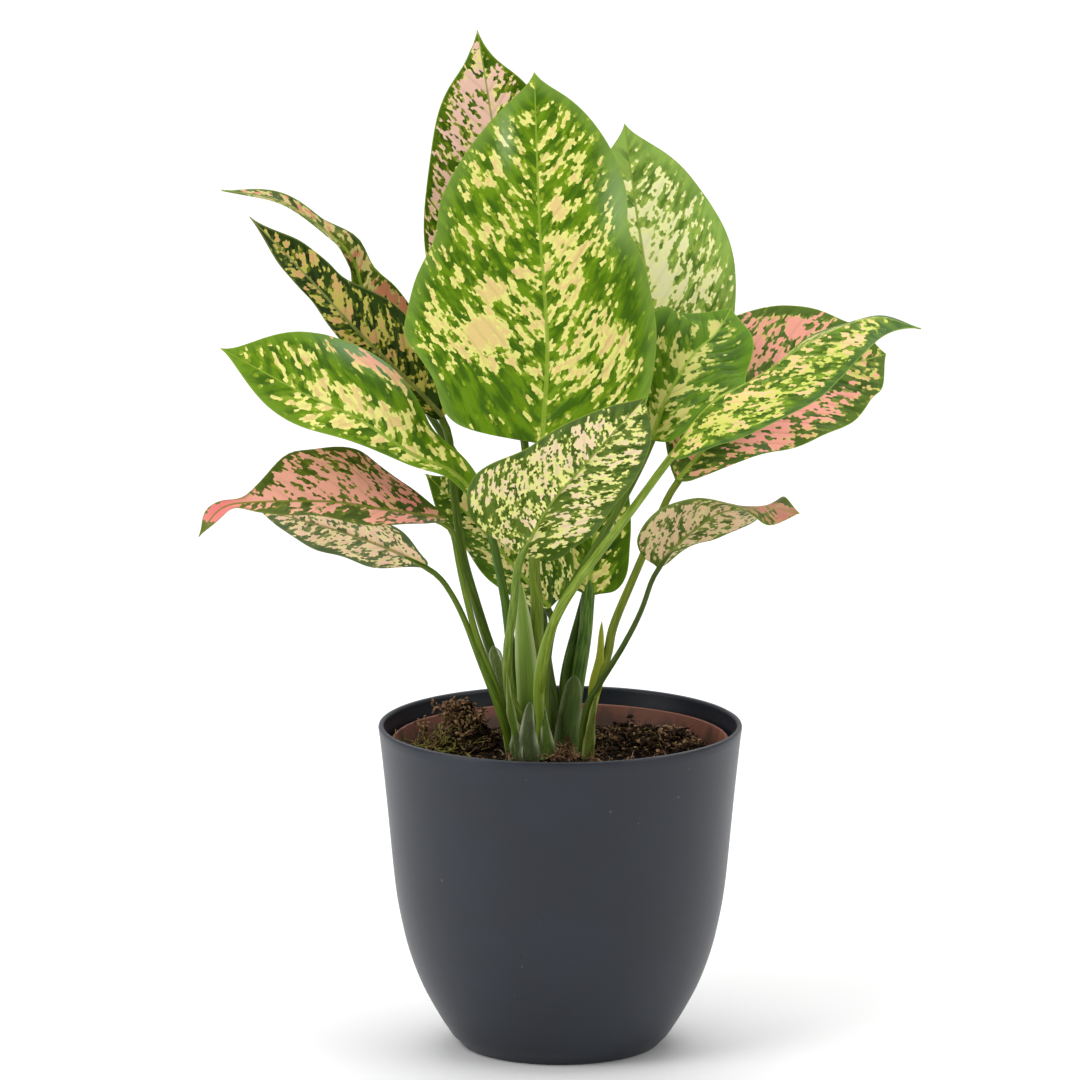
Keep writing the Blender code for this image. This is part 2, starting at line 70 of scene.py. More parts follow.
# Peat, as in the CAD model. Each mound is its x and y, its height and its spread.
SOIL_LEVEL = 112.0
SOIL_RADIUS = 61.2
SOIL_BOTTOM = 13.5
SOIL_SIDE = ((SOIL_RADIUS - 2.5, SOIL_LEVEL - 14), (44.0, SOIL_BOTTOM + 3),
             (42.0, SOIL_BOTTOM), (0, SOIL_BOTTOM))
MOUNDS = (
    (-37.0, 16.0, 14.0, 7.0), (-46.0, 4.0, 5.0, 9.0), (-28.0, 20.0, 6.0, 7.0),
    (36.0, 14.0, 5.0, 16.0), (22.0, 30.0, 4.0, 9.0), (-4.0, -30.0, 3.0, 14.0),
)
SOIL_STEPS = 168
SOIL_RINGS = 66

# Blades, as in the CAD model. The stations are the shares of a blade's length where its
# half widths are given.
STATIONS = (0.03, 0.14, 0.32, 0.55, 0.77, 0.92)
VEIN_SWEEP = 1.5
RIB_THICKNESS = 2.2
NECK_HALF_WIDTH = 1.5
CURL_WIDTH = 30.0
SIDE_SWELL = 1.3
WAVE_OFFSET = 0.2
SPINE_SAMPLES = 121
SPINE_PIECES = 24
MARGIN_PIECES = 12
JOINT_LENGTH = 3.0
JOINT_GAP = 0.6

# Leaves, finer than in the CAD model. A blade thins out over the margin's width, and its
# side veins lie level near the midrib and the margin.
LEAF_ROWS = 70
LEAF_HALF_COLUMNS = 17
COLUMN_CROWDING = 1.5
LEAF_THICKNESS = 0.5
MARGIN_WIDTH = 3.0
RIB_TIP_RADIUS = 0.25
VEIN_SPACING = 9.0
VEIN_RELIEF = 0.14
VEIN_LEAN = 1.1
VEIN_CURVE = 0.45
VEIN_FADE = 6.0
VEIN_START = 2.0
DRIP_LENGTH = 8.0
DRIP_PINCH = 0.5

# The leaf pattern's sizes across the side veins and along them, and the spread of its
# field, from which a blade's pale share follows.
CELLS = (0.95, 1.5)
GROUPS = (9.0, 13.0)
FLECKS = (2.8, 6.6)
SPECKS = (1.2, 2.0)
NETTING = (3.6, 9.0)
HUES = (13.0, 17.0)
FIELD_SPREAD = 0.16

# Lengths that the UV maps hold as 0 to 1.
PLACE_SPAN = 400.0
EDGE_SPAN = 100.0
STALK_SPAN = 200.0

# Petioles and stems. Under its blade a petiole runs on as a rib: how far ahead, its share
# of the radius, and its depth below the blade.
PETIOLE_STEPS = 64
PETIOLE_SIDES = 16
PETIOLE_GROOVE = 0.16
GROOVE_HALF_ANGLE = 0.6
UPPER_PART = 0.65
EASING = 40
JOINT_EASING = 7
UNDER_BLADE = ((2.0, 0.9, 1.3), (5.0, 0.72, 1.5), (9.0, 0.5, 1.4), (14.0, 0.25, 1.0))
FOOT_HEIGHT = 104.0
FOOT_SWELL = 1.2
FOOT_TAPER = 1.6
FOOT_PULL = 0.7
STEM_DEPTH = 10.0
STEM_RISE = 5.0
STEM_STEP = 0.6
STEM_SIDES = 28
STEM_SLIMMING = 0.92
STEM_ROUNDING = 4.0

# Sheath films, fibres and dry scraps.
FILM_THICKNESS = 0.25
FILM_ROWS = 26
FILM_COLUMNS = 8
FIBRE_PIECES = 7
SCRAP_ROWS = 7
SCRAP_COLUMNS = 5


def tone(red, green, blue):
    """A colour as seen on a screen, 0 to 255, as the linear one that shaders take."""
    linear = [((c / 255 + 0.055) / 1.055) ** 2.4 for c in (red, green, blue)]
    return (*linear, 1.0)


def catmull_rom(knots, pieces):
    """Points of the smooth curve through all knots but the first and the last."""
    line = []
    for i in range(1, len(knots) - 2):
        a, b, c, d = knots[i - 1:i + 3]
        for f in np.arange(pieces) / pieces:
            line.append(0.5 * (2 * b + (c - a) * f + (2 * a - 5 * b + 4 * c - d) * f ** 2
                               + (3 * b - a - 3 * c + d) * f ** 3))
    return np.array(line + [knots[-2]])


def smooth_curve(points, samples):
    """Points along a smooth curve through the given ones, at even spacing."""
    knots = np.array(points, dtype=float)
    knots = np.vstack([2 * knots[0] - knots[1], knots, 2 * knots[-1] - knots[-2]])
    fine = catmull_rom(knots, SPINE_PIECES)
    run = np.r_[0, np.cumsum(np.linalg.norm(np.diff(fine, axis=0), axis=1))]
    even = np.linspace(0, run[-1], samples)
    return np.array([np.interp(even, run, axis) for axis in fine.T]).T, run[-1]


def unit(vector):
    return vector / max(np.linalg.norm(vector), 1e-9)


class Blade:
    """A leaf blade bent along its midrib, given as in the CAD model."""

    def __init__(self, spine, facing, right, left, fold, curl=((0, 0), (0, 0)),
                 wave=(1.2, 2.5, 0.0)):
        self.points, self.length = smooth_curve(spine, SPINE_SAMPLES)
        step = np.gradient(self.points, axis=0)
        self.tangents = step / np.linalg.norm(step, axis=1)[:, None]
        self.facing = np.array(facing, dtype=float)
        self.fold = {1: fold[0], -1: fold[1]}
        self.curl = {1: curl[0], -1: curl[1]}
        self.wave = wave
        self.outline = {1: self.margin(right), -1: self.margin(left)}
        self.half_width = max(*right, *left)

    def margin(self, widths):
        """The margin of one half as points (part of the length, half width)."""
        knots = [(0, NECK_HALF_WIDTH)]
        knots += [(at * self.length, width) for at, width in zip(STATIONS, widths)]
        knots.append((self.length, 0))
        knots = np.array(knots, dtype=float)
        knots = np.vstack([knots[0], knots, 2 * knots[-1] - knots[-2]])
        line = catmull_rom(knots, MARGIN_PIECES)
        line[:, 0] = np.clip(line[:, 0] / self.length, 0, 1)
        line[:, 1] = np.maximum(line[:, 1], 0)
        return line

    def draw_in(self, pinches):
        """Narrows the outline to a drawn-out tip, and at each pinch."""
        for line in self.outline.values():
            left = (1 - line[:, 0]) * self.length
            line[:, 1] *= 1 - DRIP_PINCH * np.exp(-(left / DRIP_LENGTH) ** 2)
            for at, spread, depth in pinches:
                line[:, 1] *= 1 - depth * np.exp(-((line[:, 0] - at) / spread) ** 2)

    def frame(self, along):
        """Point, tangent, upper face's direction and the direction to the right half."""
        at = np.clip(along, 0, 1) * (len(self.points) - 1)
        i = min(int(at), len(self.points) - 2)
        f = at - i
        point = self.points[i] * (1 - f) + self.points[i + 1] * f
        tangent = unit(self.tangents[i] * (1 - f) + self.tangents[i + 1] * f)
        if len(self.facing) == 1:
            face = self.facing[0]
        else:
            at = np.clip(along, 0, 1) * (len(self.facing) - 1)
            i = min(int(at), len(self.facing) - 2)
            face = self.facing[i] * (1 - at + i) + self.facing[i + 1] * (at - i)
        face = unit(face - face.dot(tangent) * tangent)
        return point, tangent, face, np.cross(tangent, face)

    def place(self, step, reach):
        """The point at step (0 base, 1 tip) and reach (-1 left margin, 1 right), with
        its part of the length and its distances from the midrib and the margin."""
        side = 1 if reach >= 0 else -1
        line = self.outline[side]
        at = step * (len(line) - 1)
        i = min(int(at), len(line) - 2)
        edge_along, half_width = line[i] * (1 - at + i) + line[i + 1] * (at - i)
        r = abs(reach)
        root = edge_along ** VEIN_SWEEP
        along = root + (edge_along - root) * r ** SIDE_SWELL
        across = half_width * r
        point, _, face, sideways = self.frame(along)
        fold = np.interp(along, (0, 1), self.fold[side])
        curl = np.interp(along, (0, 1), self.curl[side])
        angle = math.radians(fold + curl * across / CURL_WIDTH / 2)
        height, count, phase = self.wave
        swell = math.sin(math.pi * along) * r ** 2
        turn = count * along + phase + side * WAVE_OFFSET
        ripple = height * swell * math.sin(2 * math.pi * turn)
        place = (point + sideways * side * across * math.cos(angle)
                 + face * (across * math.sin(angle) + ripple))
        return place, along, side * across, half_width * (1 - r)

    def grid(self, rows, reaches):
        """Points in rows from base to tip, the directions square to them, and all that
        place says of each."""
        placed = [[self.place(i / rows, reach) for reach in reaches] for i in range(rows + 1)]
        points = np.array([[cell[0] for cell in row] for row in placed])
        normals = np.cross(np.gradient(points, axis=1), np.gradient(points, axis=0))
        normals[-1] = normals[-2]
        normals /= np.maximum(np.linalg.norm(normals, axis=2), 1e-9)[:, :, None]
        return points, normals, placed


def film(spine, facing, right, fold, curl, left=None):
    """A sheath's film, which folds and curls alike on both sides."""
    return Blade(spine, (facing,), right, left or right, (fold, fold), (curl, curl))


# Each blade by the place it has in the plant, seen from the front. facing is where its
# upper face looks, from base to tip, and right and left are the half widths at the
# stations. fold and curl are degrees, for the right half and the left one, each at the
# base and at the tip. wave is the margin's ripple: its height, count and phase.
BLADES = {
    "front_large": Blade(
        spine=((-7, -8, 237), (-5, 6, 273), (-8, 18, 318), (-10, 34, 374)),
        facing=((0, -1, 0.15), (0, -1, 0.2)),
        right=(30, 39, 41, 38, 30, 15), left=(34, 44, 54, 46, 29, 11),
        fold=((6, 4), (12, 10)), curl=((-14, -26), (0, 0)), wave=(1.6, 2.0, 0.1)),
    "front_low": Blade(
        spine=((-15, -20, 197), (-4, -33, 219), (7, -43, 234), (19, -50, 249), (32, -54, 264)),
        facing=((-0.1, 1, 0.2), (-0.15, 1, 0.35)),
        right=(10, 26, 33, 23, 14, 7), left=(12, 17, 21, 20, 17, 11),
        fold=((-6, 0), (-8, -4)), curl=((-8, -8), (-6, -10)), wave=(1.4, 2.5, 0.3)),
    "back_top": Blade(
        spine=((-18, 58, 262), (-22, 64, 320), (-27, 67, 354), (-32, 69, 385)),
        facing=((0.25, -1, 0.2), (0.2, -1, 0.2)),
        right=(15, 30, 34, 28, 18, 5), left=(15, 29, 34, 31, 21, 8),
        fold=((10, 8), (10, 8))),
    "right_top": Blade(
        spine=((38, 62, 246), (34, 65, 284), (29, 68, 318), (25, 71, 348)),
        facing=((0.3, -1, 0.25),),
        right=(18, 30, 35, 34, 23, 10), left=(16, 27, 30, 26, 18, 8),
        fold=((8, 6), (8, 6)), curl=((-8, -6), (0, 0))),
    "right_bent": Blade(
        spine=((35, 10, 235), (41, 14, 251), (51, 22, 266), (60, 30, 273), (66, 40, 281)),
        facing=((-0.2, -0.9, 0.5), (-0.2, -0.85, 0.55)),
        right=(8, 14, 21, 25, 18, 9), left=(6, 12, 18, 23, 20, 10),
        fold=((12, 6), (12, 6)), curl=((-10, -10), (0, -10))),
    "right_broad": Blade(
        spine=((45, 8, 220), (59, 20, 233), (80, 32, 246), (104, 41, 256), (126, 46, 262)),
        facing=((-0.1, -0.85, 0.5), (-0.05, -0.8, 0.6)),
        right=(5, 11, 18, 24, 23, 14), left=(6, 17, 31, 38, 30, 15),
        fold=((10, 4), (6, 4)), curl=((-8, -10), (0, -6)), wave=(1.6, 3.0, 0.2)),
    "right_folded": Blade(
        spine=((41, -36, 238), (55, -40, 257), (75, -43, 270), (97, -46, 285),
               (118, -48, 293), (136, -48, 289)),
        facing=((-0.3, -0.35, 0.93), (-0.3, -0.4, 0.9)),
        right=(8, 18, 26, 28, 20, 6), left=(5, 14, 22, 24, 16, 5),
        fold=((-6, -6), (-28, -28)), curl=((-16, -16), (0, 0))),
    "right_low": Blade(
        spine=((37, -10, 190), (43, -13, 198), (51, -17, 206), (62, -21, 214),
               (77, -25, 216), (91, -28, 214)),
        facing=((-0.4, 0.85, 0.45), (-0.35, 0.8, 0.5), (-0.2, 0.7, 0.7), (0, 0, 1),
                (0.2, -0.85, 0.5)),
        right=(9, 17, 20, 10, 10, 7), left=(3, 5, 9, 13, 11, 6),
        fold=((4, 4), (-4, -10)), curl=((-4, -10), (-10, -20))),
    "left_pink": Blade(
        spine=((-44, 2, 206), (-69, -10, 212), (-88, -16, 216), (-116, -22, 217),
               (-129, -24, 215), (-138, -24, 204)),
        facing=((0, -0.6, 0.8), (0, -0.7, 0.7), (0.1, -0.8, 0.5)),
        right=(6, 14, 24, 20, 4, 4), left=(5, 9, 12, 8, 4, 3),
        fold=((8, 4), (24, 10))),
    "left_pale": Blade(
        spine=((-51, 6, 187), (-66, 6, 194), (-84, 4, 201), (-102, 0, 207), (-116, -4, 211)),
        facing=((0.2, 0.9, 0.45), (0.2, 0.9, 0.5)),
        right=(5, 8, 12, 12, 9, 5), left=(5, 9, 13, 14, 11, 6),
        fold=((-4, -4), (-4, -4)), curl=((-12, -12), (-20, -20))),
    "left_broad": Blade(
        spine=((-32, -4, 216), (-42, -5, 226), (-57, -7, 233), (-78, -12, 248),
               (-99, -18, 259), (-129, -24, 277)),
        facing=((0.2, -0.8, 0.6), (0.1, -0.75, 0.65), (0.1, -0.7, 0.7)),
        right=(5, 9, 19, 29, 23, 9), left=(3, 4, 6, 13, 13, 6),
        fold=((10, 4), (10, 4)), curl=((0, -6), (-16, -20)), wave=(1.2, 2.5, 0.15)),
    "left_dark": Blade(
        spine=((-45, 21, 242), (-57, 20, 255), (-70, 18, 268), (-83, 16, 282),
               (-96, 14, 297), (-119, 10, 322)),
        facing=((0.1, -1, 0.1),),
        right=(9, 16, 18, 13, 8, 3), left=(4, 6, 7, 7, 5, 2),
        fold=((6, 6), (24, 24)), wave=(1.0, 3.0, 0.0)),
    "left_curl": Blade(
        spine=((-52, 42, 242), (-65, 40, 268), (-75, 38, 286), (-80, 37, 301),
               (-89, 36, 311), (-107, 33, 324), (-130, 30, 329)),
        facing=((0.2, -0.9, 0.3), (0.1, -0.9, 0.3), (-0.3, -0.2, 0.9), (-0.2, -0.1, 0.95)),
        right=(6, 12, 13, 8, 7, 4), left=(6, 8, 5, 4, 6, 4),
        fold=((8, 14), (20, 14))),
    "low_left": Blade(
        spine=((-4, 12, 169), (-19, 20, 185), (-35, 26, 202), (-52, 30, 218)),
        facing=((0.3, -0.9, 0.4),),
        right=(12, 20, 24, 20, 13, 6), left=(5, 9, 12, 11, 9, 5),
        fold=((8, 6), (8, 6))),
    "low_right": Blade(
        spine=((11, 24, 172), (13, 33, 190), (16, 42, 208), (19, 50, 232)),
        facing=((0.1, -0.95, 0.35),),
        right=(10, 14, 14, 12, 8, 4), left=(11, 18, 20, 16, 11, 5),
        fold=((8, 6), (8, 6)), curl=((-10, -10), (0, 0))),
}

# Shoots, as in the CAD model: the stem's place and radius, then each petiole as its
# points up to its blade, its radius at the blade and the radius of its foot.
SHOOTS = {
    "shoot_left": dict(at=(-17, -2), radius=3.6, petioles={
        "left_pale": (((-18, -4, 116), (-23, -5, 131), (-32, -1, 154), (-39, 3, 173),
                       (-44, 5, 180)), 1.1, 1.5),
        "left_pink": (((-18, -2, 116), (-23, -2, 135), (-32, 0, 160), (-36, 2, 175),
                       (-40, 3, 191), (-41, 3, 199)), 1.2, 1.6),
        "left_dark": (((-16.5, 0, 116), (-21, 5, 137), (-28, 8, 157), (-33, 10, 173),
                       (-37, 13, 187), (-40, 17, 202), (-42, 20, 222)), 1.5, 2.2),
    }),
    "shoot_centre": dict(at=(-7, -2), radius=5.2, petioles={
        "left_broad": (((-9, -1, 122), (-17, 2, 140), (-20, 1, 165), (-22, 0, 180),
                        (-25, -2, 195), (-27, -3, 205)), 1.6, 2.2),
        "front_low": (((-9, -4, 122), (-19, -10, 138), (-20, -14, 160), (-17, -18, 180)),
                      1.6, 2.2),
        "front_large": (((-7, -1, 122), (-9, 0, 140), (-9, 0, 173), (-10, -2, 186),
                         (-9, -7, 212)), 1.8, 3.2),
        "right_folded": (((-6, -4, 122), (-8, -12, 142), (-3, -20, 169), (11, -28, 194),
                          (30, -35, 220)), 1.6, 2.3),
        "low_left": (((-5, 2, 122), (-5, 6, 140), (-5, 8, 155)), 1.4, 2.0),
        "right_bent": (((-5, 0, 122), (-6, 5, 142), (-2, 5, 166), (11, 5, 190),
                        (25, 6, 213)), 1.4, 1.9),
    }),
    "shoot_back": dict(at=(2, 13), radius=4.6, petioles={
        "low_right": (((3, 14, 120), (6, 17, 136), (10, 20, 158)), 2.6, 3.4),
        "right_top": (((1, 14, 120), (2, 19, 140), (8, 27, 163), (18, 44, 195),
                       (30, 56, 222)), 1.5, 2.0),
        "back_top": (((0, 14, 120), (-5, 20, 145), (-8, 26, 175), (-12, 38, 215),
                      (-16, 52, 243)), 1.5, 2.0),
        "left_curl": (((0, 12.5, 120), (-6, 16, 138), (-12, 28, 165), (-24, 42, 195),
                       (-40, 47, 222)), 1.4, 1.8),
    }),
    "shoot_right": dict(at=(7, -2), radius=4.0, petioles={
        "right_broad": (((8, -1, 116), (12, 1, 133), (18, 3, 152), (21, 4, 165),
                         (32, 6, 191)), 1.4, 2.0),
        "right_low": (((7, -3, 116), (10, -6, 133), (15, -7, 143), (21, -8, 153),
                       (28, -9, 165), (34, -10, 178)), 1.0, 1.4),
    }),
}

# Each stalk's dark and light colour.
STALK_LOOKS = {
    "left_pale": ((66, 92, 8), (104, 128, 26)),
    "left_pink": ((78, 102, 14), (118, 140, 38)),
    "left_dark": ((58, 84, 6), (98, 122, 26)),
    "left_broad": ((50, 80, 6), (84, 116, 20)),
    "front_low": ((82, 110, 22), (134, 156, 60)),
    "front_large": ((88, 108, 14), (122, 142, 36)),
    "right_folded": ((100, 126, 22), (148, 170, 64)),
    "low_left": ((44, 66, 4), (76, 98, 16)),
    "right_bent": ((66, 92, 10), (102, 126, 26)),
    "low_right": ((52, 86, 14), (112, 144, 58)),
    "right_top": ((48, 76, 8), (88, 116, 34)),
    "back_top": ((52, 76, 8), (88, 110, 26)),
    "left_curl": ((52, 76, 8), (88, 110, 26)),
    "right_broad": ((84, 102, 12), (126, 140, 34)),
    "right_low": ((48, 66, 8), (84, 104, 28)),
}

# Sheaths, each a pointed film like a small blade, with its body's colour, its edge's
# colour, and how opaque its middle is: the oldest have dried to a clear skin.
SHEATHS = {
    "front_large": (film(
        ((-11.5, -6, 108), (-12.6, -7, 128), (-13, -7, 144), (-14.2, -6.5, 163), (-15.1, -5, 183)),
        (-0.1, -1, 0.1), (4.6, 5.2, 5.5, 5.1, 3.7, 1.6), (-24, -14), (-200, -200)),
        (104, 134, 34), (176, 186, 124), 1.0),
    "right_broad": (film(
        ((8, -3, 108), (9.8, -2, 124), (12.4, 0, 138), (14.8, 1.5, 152), (16, 2.5, 166)),
        (-0.5, -1, 0), (2.4, 2.9, 3.2, 3.0, 2.2, 1.0), (-30, -14), (-300, -240)),
        (136, 148, 24), (168, 174, 62), 1.0),
    "low_right": (film(
        ((2.5, 6.5, 108), (3, 7, 120), (4.2, 8, 131), (5.6, 9.5, 143)),
        (0, -1, 0.1), (6.4, 6.8, 6.4, 5.4, 4.2, 2.8), (-20, -12), (-180, -160)),
        (104, 126, 66), (164, 174, 128), 0.3),
    "left_dark": (film(
        ((-19, -5, 112), (-20.5, -3, 124), (-23, 0, 138), (-26, 4, 156)),
        (-0.2, -1, 0), (2.6, 3.0, 3.2, 3.2, 3.2, 3.1), (-30, -20), (-300, -260)),
        (122, 144, 68), (184, 196, 142), 0.5),
    "right_folded": (film(
        ((-8, -9, 112), (-8.5, -12.5, 130), (-8.3, -15.5, 146), (-6.2, -19.5, 160),
         (-3.8, -22.5, 170)),
        (-0.1, -1, -0.2), (3.0, 3.2, 3.0, 2.7, 2.2, 1.2), (-30, -24), (-320, -300)),
        (116, 142, 36), (162, 182, 92), 1.0),
    "front_low": (film(
        ((-14, -8, 108), (-17, -10.5, 122), (-19.5, -13.5, 136), (-20.4, -16, 150)),
        (-0.2, -1, -0.1), (2.4, 2.6, 2.4, 2.0, 1.2, 0.5), (-30, -20), (-320, -260)),
        (92, 120, 30), (172, 186, 116), 1.0),
    "old_front": (Blade(
        spine=((-11.5, -10, 107), (-12.2, -12, 117), (-12.2, -12, 127), (-11.4, -10, 137)),
        facing=((0, -1, 0.1),), right=(4.2, 4.8, 4.6, 3.4, 2.0, 1.2),
        left=(3.8, 4.4, 4.4, 3.6, 2.6, 1.6), fold=((-14, 6), (-20, 0)),
        curl=((-240, -60), (-240, -100))), (96, 110, 66), (186, 192, 164), 0.35),
    "old_left": (Blade(
        spine=((-16.5, -9, 107), (-17, -11, 114), (-17, -11, 121), (-17.4, -9.5, 129)),
        facing=((-0.3, -1, 0.1),), right=(2.4, 3.0, 3.0, 2.6, 2.0, 1.4),
        left=(2.4, 3.0, 3.0, 2.6, 2.0, 1.4), fold=((-20, 8), (-20, 0)),
        curl=((-240, -100), (-240, -60))), (88, 104, 52), (172, 180, 146), 0.35),
    "old_middle": (film(
        ((-3.5, -9, 107), (-4.4, -10.8, 116), (-5.6, -11.4, 126), (-7, -10.5, 137)),
        (0.1, -1, 0.1), (4.6, 4.8, 3.6, 2.4, 1.3, 0.6), (-24, -4), (-240, -160),
        left=(4.2, 4.4, 3.6, 2.4, 1.3, 0.6)), (84, 116, 30), (180, 192, 142), 0.6),
    "old_right": (film(
        ((10, -7.5, 107), (11, -8.5, 117), (12, -8.5, 128), (14, -7.5, 140)),
        (0.1, -1, 0), (2.8, 3.0, 2.6, 2.0, 1.2, 0.6), (-24, -10), (-260, -200),
        left=(2.8, 3.2, 2.8, 2.0, 1.2, 0.6)), (86, 106, 30), (158, 160, 90), 0.6),
}

# Blade looks. dark and mid are the green tissue, lime lies beside the pale flecks, and
# cream and blush are the flecks. share is how much of the blade is pale, fleck scales the
# flecks, and blushing and mottle turn more of them to blush. net is how much green
# netting cuts them up. band is the greener strip along the margin: its width in mm and
# how much greener it is, in the margin colour. That is the margin's own green on most
# blades, but on front_large and right_top it is a painted sheen, lighter and greyer. A
# patch is a place that is paler or greener: along and across in mm, its spreads, and the
# amount. A flush is a place with other colours: the same four measures, how strong it is,
# its flecks and its green. Most flushes are real blushes of colour; those on front_large
# are painted sheen.
GREEN = dict(dark=(62, 98, 4), mid=(104, 140, 12), lime=(172, 194, 54),
             cream=(230, 226, 130), blush=(228, 200, 132), share=0.4, fleck=1.0,
             blushing=0.0, mottle=0.0, net=0.1, band=(7.0, 0.2), rib=(140, 166, 52))
LEAF_LOOKS = {
    # front_large: its margin colour and both flushes are painted sheen, a lighter grey-green where
    # light glances off the waxy skin.
    "front_large": dict(seed=1, margin=(128, 160, 68), share=0.38, patches=(
        (42, -25, 9, 12, 0.44), (60, -19, 5, 5, 0.2), (91, 7, 7, 3, 0.24),
        (63, 11, 9, 4, 0.26), (76, 13, 5, 3, 0.16), (42, 23, 7, 3, 0.2),
        (28, 9, 8, 4, 0.16), (68, -5, 6, 3, 0.16), (50, -6, 6, 3, 0.16),
        (12, -22, 14, 18, -0.22), (62, 33, 32, 5, -0.14), (136, 0, 10, 20, -0.06),
        (12, 18, 8, 12, -0.16)), flushes_and_sheens=(
        (92, 30, 15, 6, 0.6, (238, 240, 176), (152, 180, 116)),
        (118, -12, 9, 3, 0.6, (240, 244, 196), (168, 192, 130)))),
    "front_low": dict(seed=2, share=0.55),
    "back_top": dict(seed=3, dark=(50, 82, 4), mid=(88, 118, 12), lime=(192, 194, 74),
                     cream=(246, 232, 150), blush=(250, 204, 186), share=0.64,
                     blushing=0.08, mottle=0.5, net=0.26, band=(3.0, 0.2),
                     patches=((92, -3, 22, 5, 0.16), (118, 4, 8, 6, -0.1))),
    # right_top: its margin colour is a painted sheen, and its greens and flecks are its own pale
    # tones lifted further as a painted highlight of glare.
    "right_top": dict(seed=4, dark=(92, 126, 40), mid=(152, 184, 80), cream=(255, 255, 180),
                      blush=(255, 252, 196), lime=(206, 224, 98), margin=(154, 190, 90),
                      share=0.48, band=(9.0, 0.2),
                      patches=((45, 4, 26, 12, 0.14), (92, 0, 14, 14, -0.1))),
    "right_bent": dict(seed=5, dark=(58, 92, 2), mid=(96, 134, 6), margin=(98, 140, 8),
                       cream=(198, 200, 108), blush=(206, 190, 116), share=0.36,
                       band=(7.0, 0.3),
                       patches=((22, 2, 16, 6, 0.06), (34, 20, 14, 8, -0.12)),
                       flushes_and_sheens=((30, 0, 24, 16, 0.5, (186, 188, 100), (52, 84, 4)),)),
    "right_broad": dict(seed=6, dark=(54, 78, 18), mid=(88, 112, 36), lime=(150, 168, 68),
                        cream=(200, 196, 100), blush=(234, 160, 140), share=0.5,
                        blushing=0.08, mottle=0.5, net=0.18, band=(6.0, 0.16),
                        patches=((50, 14, 22, 8, 0.16), (62, -20, 24, 9, 0.16)),
                        flushes_and_sheens=((50, 12, 26, 8, 0.7, (240, 154, 142), (70, 94, 30)),
                                 (60, -20, 24, 10, 0.5, (238, 156, 142), (74, 98, 34)))),
    "right_folded": dict(seed=7, dark=(62, 92, 16), mid=(108, 140, 30), lime=(178, 198, 70),
                         margin=(70, 102, 58), cream=(204, 210, 100), blush=(234, 198, 144),
                         share=0.54, mottle=0.6, net=0.24, band=(5.0, 0.4),
                         patches=((40, 12, 26, 8, 0.1),),
                         flushes_and_sheens=((34, 2, 18, 9, 0.5, (242, 204, 132), (70, 104, 30)),
                                  (62, 4, 14, 7, 0.4, (240, 190, 146), (84, 120, 40)))),
    "right_low": dict(seed=8, dark=(70, 88, 24), mid=(104, 120, 44), cream=(206, 176, 120),
                      blush=(204, 138, 118), share=0.56, blushing=0.1, mottle=0.4, net=0.2,
                      band=(3.0, 0.2), patches=((72, 4, 18, 9, 0.45),),
                      flushes_and_sheens=((72, 4, 20, 12, 0.8, (208, 134, 116), (90, 104, 48)),)),
    "left_pink": dict(seed=9, dark=(58, 78, 14), mid=(90, 106, 28), lime=(160, 156, 66),
                      cream=(222, 196, 132), blush=(236, 168, 146), share=0.62,
                      blushing=0.14, mottle=0.6, net=0.34, rib=(110, 124, 26),
                      margin=(84, 100, 40), band=(2.5, 0.2),
                      patches=((42, 10, 22, 7, 0.16), (12, 8, 10, 8, -0.12),
                               (66, 18, 8, 8, -0.1), (88, 0, 10, 6, 0.6),
                               (104, 0, 3, 6, -0.5)),
                      flushes_and_sheens=((92, 0, 10, 8, 0.9, (228, 118, 116), (124, 126, 70)),
                               (14, 4, 12, 8, 0.6, (214, 112, 110), (60, 74, 24)),
                               (20, -8, 16, 5, 0.5, (226, 130, 118), (70, 82, 28)))),
    "left_pale": dict(seed=10, share=0.6, blushing=0.1),
    "left_broad": dict(seed=11, cream=(236, 230, 136), share=0.46, fleck=1.2,
                       band=(5.0, 0.2), margin=(116, 152, 40),
                       patches=((56, 6, 22, 7, 0.12), (56, 16, 18, 4, -0.16),
                                (60, 25, 16, 4, 0.12), (96, -2, 12, 12, -0.12)),
                       flushes_and_sheens=((58, 26, 20, 5, 0.85, (236, 160, 148), (126, 156, 112)),)),
    # left_dark: its own dark green and ochre flecks, deepened further as painted shade where the
    # blade lies in shadow.
    "left_dark": dict(seed=12, dark=(24, 42, 0), mid=(44, 66, 2), lime=(134, 148, 30),
                      cream=(190, 184, 84), blush=(208, 166, 106), share=0.5, fleck=0.85,
                      mottle=0.4, net=0.16, band=(2.0, 0.16), rib=(130, 138, 70)),
    "left_curl": dict(seed=13, dark=(46, 66, 10), mid=(78, 96, 24), lime=(146, 150, 58),
                      cream=(196, 188, 116), blush=(206, 134, 104), share=0.5,
                      blushing=0.02, mottle=0.5, net=0.16, band=(1.5, 0.2),
                      patches=((28, 8, 18, 5, 0.6), (30, -3, 20, 4, -0.2))),
    "low_left": dict(seed=14, dark=(48, 76, 6), mid=(82, 114, 22), cream=(222, 222, 142),
                     share=0.52, fleck=0.7, net=0.24),
    "low_right": dict(seed=15, dark=(46, 74, 0), mid=(86, 122, 6), share=0.36, fleck=0.85,
                      band=(6.0, 0.3)),
}

